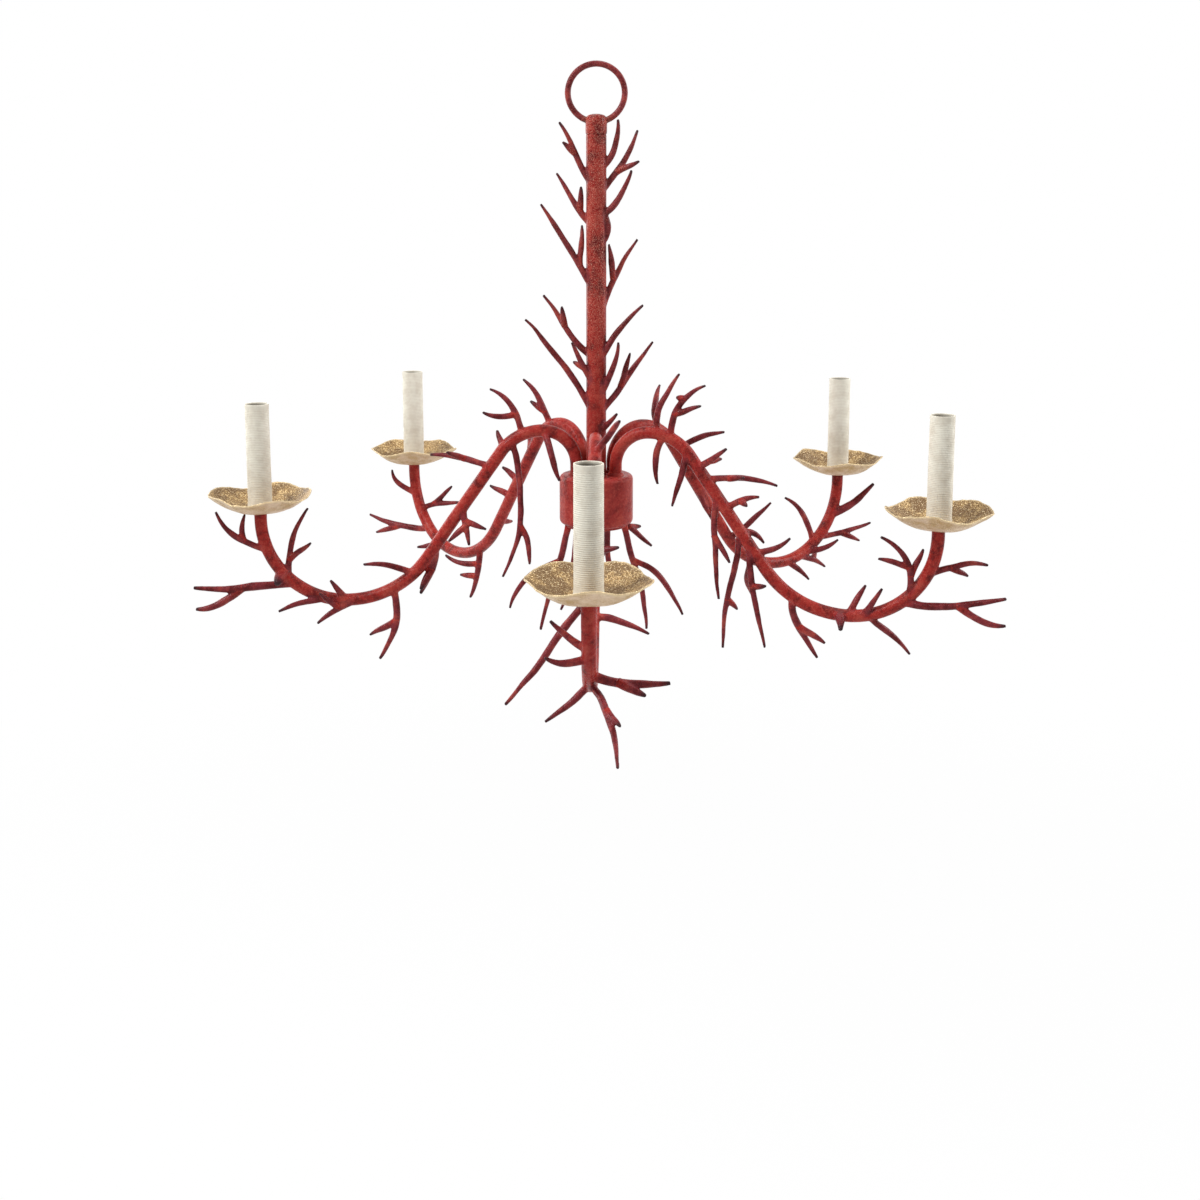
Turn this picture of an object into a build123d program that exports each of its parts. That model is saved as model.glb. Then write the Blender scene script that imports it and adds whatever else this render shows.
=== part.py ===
from build123d import *
import math
import os
from dataclasses import dataclass

# A chandelier of bent steel tube with welded coral twigs, five candle lamps and a ring to hang from.
# Millimetres, +Z up. The origin is the top of the ring's opening, where it hangs, and -Y is the front.

# Overall sizes
pan_drop = 410.0          # from the hanging point down to the floor of the drip pans
arm_reach = 318.0         # from the column's axis out to each candle's axis
clearance = 0.1           # round a tube in its hole
slip = 0.3                # under a candle sleeve, which lifts off

# Where each arm points: degrees from the front, counted towards the right
arm_headings = {"front": -1, "right_front": 75, "right_rear": 125, "left_rear": -140, "left_front": -88}

# Hanging ring and its cap
ring_wire_radius = 2.85
ring_mean_radius = 26.0
ring_sides = 8
ring_spans = 22
ring_gap = 8.8            # half the angle that the ring leaves open at the bottom, inside the cap
cap_over_column = 0.4     # the cap's side, outside the column's
cap_lip_inset = 0.5
cap_lip = 1.2
cap_height = 18.5
cap_shoulder = 4.5        # height of the cap's domed top
cap_crown_radius = 3.5
cap_over_ring = 4.4       # solid cap above the ring's wire
cap_sides = 14
spigot_gap = 0.2          # round the cap's spigot in the column
spigot_length = 8.0
round_share = 0.293       # how far in a rounded edge's middle lies, as a share of its radius

# Column
column_radius = 9.5
column_wall = 1.5
cord_hole_radius = 3.5
cord_hole_drop = 12.0     # below the cap's seam, at the back
rod_radius = 5.0
rod_bore = 3.0
rod_bite = 4.0            # how far the rod screws up past the seam
rod_sides = 10
column_sides = 20

# Hub
hub_lift = 33.0           # hub's top face above the floor of the pans
hub_height = 47.0
hub_rim = 3.4             # flat rim of the hub's top plate, outside the collars
hub_round = 5.0           # rounded edge, top and bottom
hub_wall = 2.0
hub_sides = 20
cover_thickness = 2.5
cover_spigot = 3.0
nut_radius = 8.0
nut_height = 6.0
nut_dome = 5.0
nut_crown_radius = 3.2

# Arms
arm_radius = 6.0
arm_sides = 10
bore_sides = 6
root_depth = 8.0          # how far the root goes down into the hub
crown_rise = 42.0         # top of the arch above the hub's top face
crown_radius = 32.4
shoulder_radius = 47.7
slope_run = 125.0         # the straight stretch
lift_radius = 79.0
tail_length = 7.4         # upright end under the pan
collar_lip = 1.6          # out from the arm
collar_gap = 0.8          # between the two closest collars
collar_height = 2.5
arm_nut_lip = 1.4
arm_nut_height = 5.0
arm_spans = {"stub": 1, "crown": 4, "shoulder": 2, "slide": 1, "belly": 2, "lift": 4, "tail": 1}

# Twigs
twig_radius = 3.9
fork_share = 0.85         # a fork's thickness as a share of its stem's
tip_share = 0.36          # a tip's thickness as a share of its root's
twig_sides = 5
long_twig = 64.0          # a longer one bends in three steps
short_twig = 28.0         # a shorter one is one straight step

# Drip pan
pan_radius = 47.5
pan_wall = 1.5
pan_floor_radius = 14.0
pan_mid_radius = 31.0
pan_mid_rise = 4.6
pan_mid_wave = 0.3        # a share of the rim's wave
pan_rise = 16.6
pan_wave = 1.9            # height of the rim's five lobes, up and down from their mean
pan_sway = 0.5            # a slower wave under it, as a share of it
pan_wobble = 0.03         # how far the rim's outline strays from a circle, as a share of its radius
pan_lobes = 5
pan_turn = 47.0           # degrees that each pan is turned further round than the one before
pan_hole_gap = 0.3        # round the nipple
pan_sides = 18

# Candle sleeve and lamp holder
sleeve_height = 101.6
sleeve_radius = 11.2
sleeve_spread = 0.7       # how much wider the foot is
sleeve_foot = 9.0
sleeve_wall = 1.2
sleeve_sides = 14
nipple_wall = 2.0         # arm left round the nipple
nipple_bore = 2.5
nipple_below = 8.5        # into the arm, from the pan's floor
nipple_above = 9.0
nipple_sides = 6
pan_nut_lip = 3.6
pan_nut_height = 4.0
leg_thickness = 1.2
leg_edge = 0.4            # strap left on each side of the nipple
leg_gap = 1.95            # between a leg and the sleeve
socket_gap = 0.45         # between the lamp holder and the sleeve
socket_height = 32.0
socket_floor = 4.0
socket_wall = 2.4
socket_inset = 4.0        # lamp holder's top under the sleeve's top
shell_gap = 0.2
shell_wall = 0.5
shell_inset = 2.0         # shell's top under the lamp holder's
shell_height = 20.0
contact_size = (5.0, 3.0, 1.5)
socket_sides = 8

# Levels worked out from the sizes above
ring_centre = ring_wire_radius - ring_mean_radius
cap_top = ring_centre - ring_mean_radius + ring_wire_radius + cap_over_ring
seam = cap_top - cap_height
hub_top = hub_lift - pan_drop
hub_bottom = hub_top - hub_height
cover_bottom = hub_bottom - cover_thickness
pan_under = -pan_drop - pan_wall
column_length = seam - hub_top

# Radii worked out from the sizes above
cap_radius = column_radius + cap_over_column
cap_lip_radius = cap_radius - cap_lip_inset
spigot_radius = column_radius - column_wall - spigot_gap
nipple_radius = arm_radius - nipple_wall
arm_bore = (nipple_radius + clearance) / math.cos(math.pi / bore_sides)
collar_radius = arm_radius + collar_lip
arm_nut_radius = arm_radius + arm_nut_lip
closest_arms = min(
    (one - other) % 360
    for one in arm_headings.values() for other in arm_headings.values() if one != other
)
root_radius = (collar_radius + collar_gap / 2) / math.sin(math.radians(closest_arms / 2))
hub_end_radius = root_radius + collar_radius + hub_rim
hub_radius = hub_end_radius + hub_round
sleeve_foot_radius = sleeve_radius + sleeve_spread
sleeve_bore = sleeve_radius - sleeve_wall
sleeve_clear = sleeve_bore * math.cos(math.pi / sleeve_sides)
pan_nut_radius = nipple_radius + pan_nut_lip
socket_radius = sleeve_clear - socket_gap
socket_bore = socket_radius - socket_wall
shell_radius = socket_bore * math.cos(math.pi / socket_sides) - shell_gap
shell_bore = shell_radius - shell_wall
leg_offset = sleeve_clear - leg_gap - leg_thickness
leg_width = 2 * (nipple_radius + clearance + leg_edge)


@dataclass(frozen=True)
class Twig:
    """One coral twig: where it grows, how its tip lies from its root, how its middle bows, and its forks.

    The place is a share of the arm's, the column's or the stem's length. Offsets are in millimetres:
    outward, sideways and up on an arm, or to the right, back and up on the column and the hub.
    """

    at: float
    tip: tuple
    bow: tuple = (0, 0, 0)
    forks: tuple = ()


column_twigs = (
    Twig(0.84, (-34, -5, 61), (0, 0, -2), (Twig(0.58, (-12, -7, 9)),)),
    Twig(0.73, (-37, 6, 51), (0, 0, -5), (Twig(0.4, (1, -5, 23)),)),
    Twig(0.54, (-51, -6, 83), (0, 0, 2), (Twig(0.3, (2, 7, 37)),)),
    Twig(0.345, (-50, 8, 60), (0, 0, -6), (Twig(0.6, (-3, -8, 19)),)),
    Twig(0.245, (-23, -10, 49), (0, 0, 0), (Twig(0.5, (-11, 4, 6)),)),
    Twig(0.165, (-67, 4, 94), (0, 0, 8)),
    Twig(0.895, (19, -4, 47), (8, 0, -3)),
    Twig(0.82, (38, 5, 61), (3, 0, -3), (Twig(0.42, (21, -8, 10)),)),
    Twig(0.765, (32, -9, 42), (4, 0, -5)),
    Twig(0.80, (13, -9, -36), (5, 0, 3)),
    Twig(0.415, (38, 6, 90), (-6, 0, 0), (Twig(0.58, (-4, -8, 34)),)),
    Twig(0.315, (43, -8, 61), (-3, 0, 3)),
    Twig(0.21, (21, -15, 61), (3, 0, 0)),
    Twig(0.17, (54, 6, 72), (0, 0, 0), (Twig(0.42, (9, -10, 33)),)),
    Twig(0.115, (19, -14, 24), (0, 0, 0)),
    Twig(0.66, (-4, 34, 38), (0, 5, 0)),
    Twig(0.47, (5, 40, 44), (0, 5, -3), (Twig(0.5, (3, 14, 14)),)),
    Twig(0.28, (-3, 38, 50), (0, 6, 0)),
    Twig(0.13, (4, 36, 46), (0, 6, 0)),
)

# Grow from the plate under the hub: the first two numbers are the root's place, to the right and back,
# as shares of the plate's radius.
hub_twigs = (
    ((-0.87, -0.27), Twig(0, (-27, 6, -106), (0, 0, 0), (Twig(0.34, (-48, -10, -44), (-7, 0, 7)),))),
    ((0.87, -0.235), Twig(0, (22, 6, -106), (3, 0, 0), (Twig(0.34, (47, -8, -52), (5, 0, 7)),))),
    ((-0.6, 0.27), Twig(0, (-17, 10, -92), (4, 0, 0))),
    ((0.4, 0.47), Twig(0, (6, 12, -88), (-3, 0, 0), (Twig(0.5, (12, 4, -34)),))),
    ((0.735, 0.135), Twig(0, (32, 4, -25), (0, 0, 2), (Twig(0.3, (10, 12, -2)),))),
    ((-0.07, 0.735), Twig(0, (-6, 34, -50), (0, 8, 0), (Twig(0.5, (16, 10, -12)),))),
)

front_twigs = (
    Twig(0.215, (20, 22, 34), (-4, 4, 6)),
    Twig(0.33, (30, -20, 14), (0, 0, 4)),
    Twig(0.42, (12, 22, 8), (0, 0, 0)),
    Twig(0.50, (24, -74, -90), (0, -3, -4)),
    Twig(0.545, (12, 48, -11), (0, 0, 3)),
    Twig(0.785, (14, -34, -26), (0, 4, 2)),
    Twig(0.80, (92, 22, -31), (0, 4, 5), (Twig(0.42, (24, 11, -4)),)),
    Twig(0.85, (4, 61, -5), (0, 0, -4), (Twig(0.35, (10, 21, -7)),)),
    Twig(0.895, (8, -33, 3), (0, 0, -4), (Twig(0.5, (5, -6, -15)), Twig(0.4, (-2, -10, 18)))),
    Twig(0.915, (-8, -29, 19), (0, 0, -3)),
)

right_front_twigs = (
    Twig(0.165, (19, 10, 56), (-6, 0, 2)),
    Twig(0.195, (34, -10, 52), (-8, 0, 7), (Twig(0.33, (27, -8, 9)), Twig(0.62, (-9, 3, 1)))),
    Twig(0.275, (29, -12, 21), (0, 0, -2), (Twig(0.45, (9, 12, 0)),)),
    Twig(0.305, (65, 14, -6), (0, 0, 4), (Twig(0.32, (17, -12, 3)),)),
    Twig(0.18, (-4, -6, -46), (-5, 0, 0)),
    Twig(0.235, (-11, -9, -52), (2, 0, 0)),
    Twig(0.345, (5, -11, -96), (-3, 0, 0), (Twig(0.38, (16, -5, -24)),)),
    Twig(0.375, (32, 8, 11), (0, 0, 2), (Twig(0.45, (8, -12, -2)),)),
    Twig(0.435, (19, 14, -12), (0, 0, 5)),
    Twig(0.43, (-16, 10, -117), (-2, 0, 0), (Twig(0.58, (9, 8, -12)),)),
    Twig(0.46, (18, -9, -96), (-2, 0, 0), (Twig(0.42, (14, -8, 4)),)),
    Twig(0.485, (31, 10, 15), (0, 0, -3)),
    Twig(0.60, (23, 9, -61), (-6, 0, 0), (Twig(0.48, (26, -8, -13)),)),
    Twig(0.70, (3, -22, -8), (0, 0, 3)),
    Twig(0.715, (15, 10, 28)),
    Twig(0.74, (20, -9, 29), (0, 0, -2)),
    Twig(0.755, (38, 10, -38), (0, 0, 3)),
    Twig(0.83, (91, -12, 13), (0, 0, -6), (Twig(0.54, (41, -8, -12), (0, 0, -5)),)),
    Twig(0.845, (-25, -14, 58), (11, 0, 5), (Twig(0.42, (-28, -8, 8)), Twig(0.3, (10, 10, 23)))),
    Twig(0.905, (53, 12, 8), (0, 0, 4), (Twig(0.38, (15, 8, -10)),)),
)

right_rear_twigs = (
    Twig(0.20, (18, 22, 40), (-5, 0, 5)),
    Twig(0.27, (40, -27, 18), (0, 0, 3)),
    Twig(0.37, (12, -8, -34)),
    Twig(0.44, (20, 26, 10), (0, 0, 3)),
    Twig(0.53, (34, -28, 38), (0, 0, -3)),
    Twig(0.62, (18, 20, -46), (-5, 0, 0), (Twig(0.5, (18, 10, -14)),)),
    Twig(0.73, (22, -12, -22), (0, 0, 2)),
    Twig(0.765, (36, -6, -17), (0, 0, 3), (Twig(0.5, (18, 10, 4)),)),
    Twig(0.785, (34, -17, 11), (0, 0, -3)),
    Twig(0.82, (-24, 20, 49), (6, 0, 5)),
    Twig(0.84, (60, -19, 11), (0, 0, -3), (Twig(0.45, (16, -12, -9)),)),
    Twig(0.90, (40, -24, 34), (0, 0, -4)),
)

left_rear_twigs = (
    Twig(0.19, (26, 13, 44), (-3, 0, 4), (Twig(0.24, (14, 8, 9)),)),
    Twig(0.30, (24, -20, 22), (0, 0, 3)),
    Twig(0.37, (16, 9, 12)),
    Twig(0.42, (20, 12, 9)),
    Twig(0.50, (16, -24, -22), (0, 0, 3)),
    Twig(0.61, (10, 7, -55), (-5, 0, 0), (Twig(0.3, (35, 19, 5), (0, 0, -4)), Twig(0.55, (18, 10, 0)))),
    Twig(0.70, (24, -20, -30), (0, 0, 3)),
    Twig(0.77, (22, 19, -6)),
    Twig(0.83, (77, 32, 7), (0, 0, -5), (Twig(0.5, (26, 14, -11)),)),
    Twig(0.885, (-45, -22, 12), (0, 0, 3), (Twig(0.3, (-26, -9, 23)),)),
    Twig(0.925, (16, 22, 27), (6, 3, -3)),
)

left_front_twigs = (
    Twig(0.145, (-14, 24, -44), (0, 3, 0)),
    Twig(0.19, (31, -9, 42), (-6, 0, 5), (Twig(0.35, (31, 10, 4), (0, 0, -3)),)),
    Twig(0.215, (10, 14, -129), (-13, 0, 0), (Twig(0.62, (-10, 8, -36), (-3, 0, 0)),)),
    Twig(0.24, (6, -11, 17)),
    Twig(0.285, (58, -15, 9), (0, 0, 3), (Twig(0.42, (17, 10, 9)),)),
    Twig(0.385, (-6, 12, -36), (0, 0, 0), (Twig(0.38, (-20, 8, -6)), Twig(0.5, (17, 5, -14)))),
    Twig(0.49, (14, -9, -48), (-3, 0, 0), (Twig(0.45, (10, 10, -18)),)),
    Twig(0.56, (46, 16, 13), (0, 0, 3)),
    Twig(0.615, (13, 8, -68), (-9, 0, 0), (Twig(0.45, (27, -9, -17)),)),
    Twig(0.69, (38, 12, -20), (0, 0, 2), (Twig(0.48, (16, 10, 19)),)),
    Twig(0.715, (13, 9, 22)),
    Twig(0.755, (43, 15, -8), (0, 0, 2)),
    Twig(0.83, (93, 12, -1), (0, 0, -3), (Twig(0.53, (41, 9, -17), (0, 0, -6)),)),
    Twig(0.845, (-18, -14, 64), (7, 0, -3), (Twig(0.3, (-23, 8, 19)),)),
    Twig(0.875, (10, 24, -8)),
    Twig(0.92, (46, 10, 39), (5, 0, -7), (Twig(0.36, (0, -8, 25), (2, 0, 0)),)),
)

twigs_of = {
    "front": front_twigs,
    "right_front": right_front_twigs,
    "right_rear": right_rear_twigs,
    "left_rear": left_rear_twigs,
    "left_front": left_front_twigs,
}

os.makedirs("parts", exist_ok=True)


def save(piece, name):
    """Labels a finished piece and writes it as its own file."""
    piece.label = name
    export_step(piece, f"parts/{name}.step")


def polygon(centre, across, along, radius, sides):
    """The corners of a regular polygon in the plane of two directions."""
    turns = [2 * math.pi * side / sides for side in range(sides)]
    return [centre + across * (radius * math.cos(turn)) + along * (radius * math.sin(turn)) for turn in turns]


def flat_sided(sections):
    """A solid between parallel polygons of one outline. Its sides are flat, so it meshes and cuts cleanly."""
    faces = [Face(Wire.make_polygon(sections[0])), Face(Wire.make_polygon(sections[-1]))]
    for here, there in zip(sections, sections[1:]):
        for side in range(len(here)):
            after = (side + 1) % len(here)
            faces.append(Face(Wire.make_polygon((here[side], here[after], there[after], there[side]))))
    return Solid(Shell(faces))


def turned(profile, sides):
    """A many-sided turned piece through (height, radius) rings, with sharp edges between them."""
    right, back = Vector(1, 0, 0), Vector(0, 1, 0)
    return flat_sided([polygon(Vector(0, 0, height), right, back, radius, sides) for height, radius in profile])


def rounded(edge, crown):
    """Three (height, radius) rings of a rounded shoulder, from its edge to its crown."""
    height = crown[0] - (crown[0] - edge[0]) * round_share
    radius = edge[1] - (edge[1] - crown[1]) * round_share
    return [edge, (height, radius), crown]


def sleeve_of(outer, inner, sides):
    """A turned piece with a turned bore, both given as (height, radius) rings."""
    with BuildPart() as ring:
        add(turned(outer, sides))
        add(turned(inner, sides), mode=Mode.SUBTRACT)
    return ring.part


# The arm's centreline, drawn flat: x is outward from the column and y is up.
# The belly's radius and the slope follow from the reach, so both ends meet at any reach.
crown_top = hub_top + crown_rise
belly_level = pan_under - tail_length - lift_radius
across = arm_reach - root_radius - crown_radius - lift_radius
fall = crown_top - belly_level
both_radii = (across**2 + fall**2 - slope_run**2) / (2 * fall)
belly_radius = both_radii - shoulder_radius
slope = math.degrees(math.atan2(both_radii, slope_run) - math.atan2(both_radii - fall, across))

with BuildLine() as arm_line:
    stub = Line((root_radius, hub_top - root_depth), (root_radius, crown_top - crown_radius))
    crown = JernArc(stub @ 1, stub % 1, crown_radius, -90)
    shoulder = JernArc(crown @ 1, crown % 1, shoulder_radius, -slope)
    slide = PolarLine(shoulder @ 1, slope_run, -slope)
    belly = JernArc(slide @ 1, slide % 1, belly_radius, slope)
    lift = JernArc(belly @ 1, belly % 1, lift_radius, 90)
    tail = Line(lift @ 1, (arm_reach, pan_under))
arm_runs = {"stub": stub, "crown": crown, "shoulder": shoulder, "slide": slide, "belly": belly,
            "lift": lift, "tail": tail}
arm_length = sum(run.length for run in arm_runs.values())
print("arm length", round(arm_length, 1), "belly radius", round(belly_radius, 1), "slope", round(slope, 1))


def upright(flat):
    """A point or direction of the flat drawing, stood up in the arm's own upright plane."""
    return Vector(flat.X, 0, flat.Y)


def on_arm(share):
    """The point a share of the way along the arm's centreline."""
    left = share * arm_length
    for run in arm_runs.values():
        if left <= run.length:
            return upright(run @ (left / run.length))
        left -= run.length
    return upright(tail @ 1)


def bent_bar(radius, sides):
    """A many-sided bar along the arm's centreline."""
    with BuildPart() as bar:
        for name, run in arm_runs.items():
            for step in range(arm_spans[name]):
                share = step / arm_spans[name]
                with BuildSketch(Plane(upright(run @ share), x_dir=(0, 1, 0), z_dir=upright(run % share))):
                    RegularPolygon(radius=radius, side_count=sides)
        with BuildSketch(Plane(upright(tail @ 1), x_dir=(0, 1, 0), z_dir=(0, 0, 1))):
            RegularPolygon(radius=radius, side_count=sides)
        loft(ruled=True)
    return bar.part


def grow(root, twig, radius):
    """The stem and forks of one twig, as a list of tapered stems that meet where they branch."""
    chord = Vector(*twig.tip)
    bow = Vector(*twig.bow)
    steps = 1 + (chord.length > short_twig) + (chord.length > long_twig)

    def centre(share):
        return root + chord * share + bow * (4 * share * (1 - share))

    across = Plane(root, z_dir=chord)
    sections = []
    for step in range(steps + 1):
        share = step / steps
        thickness = radius * (1 - (1 - tip_share) * share**2)
        sections.append(polygon(centre(share), across.x_dir, across.y_dir, thickness, twig_sides))
    stems = [flat_sided(sections)]
    for fork in twig.forks:
        stems += grow(centre(fork.at), fork, radius * fork_share)
    return stems


def welded_twigs(rooted, carrier):
    """Twigs given as (root point, twig), each fused with its forks and cut where it meets its carrier."""
    clusters = []
    for root, twig in rooted:
        with BuildPart() as cluster:
            add(grow(root, twig, twig_radius))
            add(carrier, mode=Mode.SUBTRACT)
        clusters.append(cluster.part)
    with BuildPart() as group:
        add(clusters)
    return group.part


def facing(piece, heading):
    """A piece drawn with +X outward, turned to a heading counted from the front."""
    with BuildPart() as placed:
        add(piece, rotation=(0, 0, heading - 90))
    return placed.part


def spots(radius, height):
    """Five places on a circle, one in line with each arm, each with its +X outward."""
    places = []
    for heading in arm_headings.values():
        angle = math.radians(heading)
        point = (radius * math.sin(angle), -radius * math.cos(angle), height)
        places.append(Location(point, (0, 0, heading - 90)))
    return places


# Ring cap: a domed cap with a spigot that centres the column and a thread for the rod
with BuildPart() as ring_cap:
    add(turned([
        (seam, cap_lip_radius),
        (seam + cap_lip, cap_radius),
        *rounded((cap_top - cap_shoulder, cap_radius), (cap_top, cap_crown_radius)),
    ], cap_sides))
    with BuildSketch(Plane.XY.offset(seam)):
        RegularPolygon(radius=spigot_radius, side_count=rod_sides)
    extrude(amount=-spigot_length)
    with BuildSketch(Plane.XY.offset(seam - spigot_length)):
        RegularPolygon(radius=rod_radius + clearance, side_count=rod_sides)
    extrude(amount=spigot_length + rod_bite + clearance, mode=Mode.SUBTRACT)
save(ring_cap.part, "ring_cap")

# Hanging ring: a bent wire whose two ends are welded to the sides of the cap
with BuildPart() as hanging_ring:
    for step in range(ring_spans + 1):
        turn = math.radians(-90 + ring_gap + (360 - ring_gap * 2) * step / ring_spans)
        out = Vector(math.cos(turn), 0, math.sin(turn))
        heading = Vector(-math.sin(turn), 0, math.cos(turn))
        middle = Vector(0, 0, ring_centre) + out * ring_mean_radius
        with BuildSketch(Plane(middle, x_dir=(0, 1, 0), z_dir=heading)):
            RegularPolygon(radius=ring_wire_radius, side_count=ring_sides)
    loft(ruled=True)
    add(ring_cap.part, mode=Mode.SUBTRACT)
save(hanging_ring.part, "hanging_ring")

# Column: a tube with a hole at the back for the lamp cord
column_bar = turned([(hub_top, column_radius), (seam, column_radius)], column_sides)
cord_hole_level = seam - cord_hole_drop
with BuildPart() as cord_way:
    with BuildSketch(Plane((0, 0, cord_hole_level), x_dir=(1, 0, 0), z_dir=(0, 1, 0))):
        RegularPolygon(radius=cord_hole_radius, side_count=rod_sides)
    extrude(amount=column_radius * 2)
with BuildPart() as column_tube:
    add(column_bar)
    with BuildSketch(Plane.XY.offset(hub_top)):
        RegularPolygon(radius=column_radius - column_wall, side_count=column_sides)
    extrude(amount=column_length, mode=Mode.SUBTRACT)
    add(cord_way.part, mode=Mode.SUBTRACT)
save(column_tube.part, "column_tube")

# Centre rod: hollow, threaded into the cap, and through the hub to the nut under its cover
rod_bottom = cover_bottom - nut_height
with BuildPart() as centre_rod:
    with BuildSketch(Plane.XY.offset(rod_bottom)):
        RegularPolygon(radius=rod_radius, side_count=rod_sides)
        RegularPolygon(radius=rod_bore, side_count=rod_sides, mode=Mode.SUBTRACT)
    extrude(amount=seam + rod_bite - rod_bottom)
    add(cord_way.part, mode=Mode.SUBTRACT)
save(centre_rod.part, "centre_rod")

# Hub: a deep cup turned upside down, with a hole for each arm and one for the rod
hub_blank = turned([
    *reversed(rounded((hub_bottom + hub_round, hub_radius), (hub_bottom, hub_end_radius))),
    *rounded((hub_top - hub_round, hub_radius), (hub_top, hub_end_radius)),
], hub_sides)
with BuildPart() as hub_body:
    add(hub_blank)
    add(turned([
        (hub_bottom, hub_end_radius - hub_wall),
        (hub_bottom + hub_round, hub_radius - hub_wall),
        (hub_top - hub_round, hub_radius - hub_wall),
        (hub_top - hub_wall, hub_end_radius - hub_wall),
    ], hub_sides), mode=Mode.SUBTRACT)
    with BuildSketch(Plane.XY.offset(hub_top)):
        RegularPolygon(radius=rod_radius + clearance, side_count=rod_sides)
        with Locations(*spots(root_radius, 0)):
            RegularPolygon(radius=arm_radius + clearance, side_count=arm_sides, rotation=90)
    extrude(amount=-hub_wall, mode=Mode.SUBTRACT)
save(hub_body.part, "hub_body")

# Hub cover: a plate with a low spigot that centres it in the hub's mouth
with BuildPart() as hub_cover:
    with BuildSketch(Plane.XY.offset(cover_bottom)):
        RegularPolygon(radius=hub_end_radius, side_count=hub_sides)
    extrude(amount=cover_thickness)
    with BuildSketch(Plane.XY.offset(hub_bottom)):
        RegularPolygon(radius=hub_end_radius - hub_wall - clearance, side_count=hub_sides)
    extrude(amount=cover_spigot)
    with BuildSketch(Plane.XY.offset(cover_bottom)):
        RegularPolygon(radius=rod_radius + clearance, side_count=rod_sides)
    extrude(amount=cover_thickness + cover_spigot, mode=Mode.SUBTRACT)
save(hub_cover.part, "hub_cover")

# Cover nut: a domed hexagon nut on the rod's lower end
with BuildPart() as cover_nut:
    nut_edge = (cover_bottom - nut_height, nut_radius)
    nut_crown = (cover_bottom - nut_height - nut_dome, nut_crown_radius)
    add(turned([*reversed(rounded(nut_edge, nut_crown)), (cover_bottom, nut_radius)], 6))
    with BuildSketch(Plane.XY.offset(cover_bottom)):
        RegularPolygon(radius=rod_radius + clearance, side_count=rod_sides)
    extrude(amount=-nut_height - clearance, mode=Mode.SUBTRACT)
save(cover_nut.part, "cover_nut")


def arm_ring(outer_radius, height):
    """A low ring round an arm's root: a collar above the hub's top plate, or a nut below it."""
    with BuildPart() as ring:
        with BuildSketch():
            RegularPolygon(radius=outer_radius, side_count=arm_sides, rotation=90)
            RegularPolygon(radius=arm_radius + clearance, side_count=arm_sides, rotation=90, mode=Mode.SUBTRACT)
        extrude(amount=height)
    return ring.part


with BuildPart() as arm_collars:
    with Locations(*spots(root_radius, hub_top)):
        add(arm_ring(collar_radius, collar_height))
save(arm_collars.part, "arm_collars")

with BuildPart() as arm_nuts:
    with Locations(*spots(root_radius, hub_top - hub_wall - arm_nut_height)):
        add(arm_ring(arm_nut_radius, arm_nut_height))
save(arm_nuts.part, "arm_nuts")

# Arms: five tubes of one bend, and the twigs welded to each
arm_bar = bent_bar(arm_radius, arm_sides)
with BuildPart() as arm_tube:
    add(arm_bar)
    add(bent_bar(arm_bore, bore_sides), mode=Mode.SUBTRACT)

for name, heading in arm_headings.items():
    save(facing(arm_tube.part, heading), f"{name}_arm")
    rooted = [(on_arm(twig.at), twig) for twig in twigs_of[name]]
    save(facing(welded_twigs(rooted, arm_bar), heading), f"{name}_twigs")

rooted = [(Vector(0, 0, hub_top + twig.at * column_length), twig) for twig in column_twigs]
save(welded_twigs(rooted, column_bar), "column_twigs")

cover_blank = turned([(cover_bottom, hub_end_radius), (hub_bottom, hub_end_radius)], hub_sides)
with BuildPart() as hub_outside:
    add(hub_blank)
    add(cover_blank)
rooted = []
for (right, back), twig in hub_twigs:
    rooted.append((Vector(right * hub_end_radius, back * hub_end_radius, hub_bottom), twig))
save(welded_twigs(rooted, hub_outside.part), "hub_twigs")


def pan_ring(radius, rise, wave, top):
    """One ring of the pan's skin, under or, with top, above the sheet."""
    points = []
    for step in range(pan_sides):
        turn = 2 * math.pi * step / pan_sides
        swell = math.cos(pan_lobes * turn) + pan_sway * math.sin((pan_lobes - 3) * turn + 1)
        reach = radius * (1 - pan_wobble * wave * math.sin((pan_lobes - 1) * turn))
        level = pan_under + rise + pan_wave * wave * swell + (pan_wall if top else 0)
        points.append(Vector(reach * math.cos(turn), reach * math.sin(turn), level))
    return points


def drip_pan():
    """A thin dish with a wavy rim and a hole for the nipple, as a closed skin of triangles."""
    profile = [
        (nipple_radius + pan_hole_gap, 0, 0),
        (pan_floor_radius, 0, 0),
        (pan_mid_radius, pan_mid_rise, pan_mid_wave),
        (pan_radius, pan_rise, 1),
    ]
    rings = [pan_ring(radius, rise, wave, False) for radius, rise, wave in profile]
    rings += [pan_ring(radius, rise, wave, True) for radius, rise, wave in reversed(profile)]
    faces = []
    for here, there in zip(rings, rings[1:] + rings[:1]):
        for step in range(pan_sides):
            after = (step + 1) % pan_sides
            for corners in ((here[step], here[after], there[after]), (here[step], there[after], there[step])):
                faces.append(Face(Wire.make_polygon(corners)))
    return Solid(Shell(faces))


pan_blank = drip_pan()
for order, (name, place) in enumerate(zip(arm_headings, spots(arm_reach, 0))):
    with BuildPart() as pan:
        with Locations(place * Location((0, 0, 0), (0, 0, pan_turn * order))):
            add(pan_blank)
    save(pan.part, f"{name}_pan")

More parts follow.
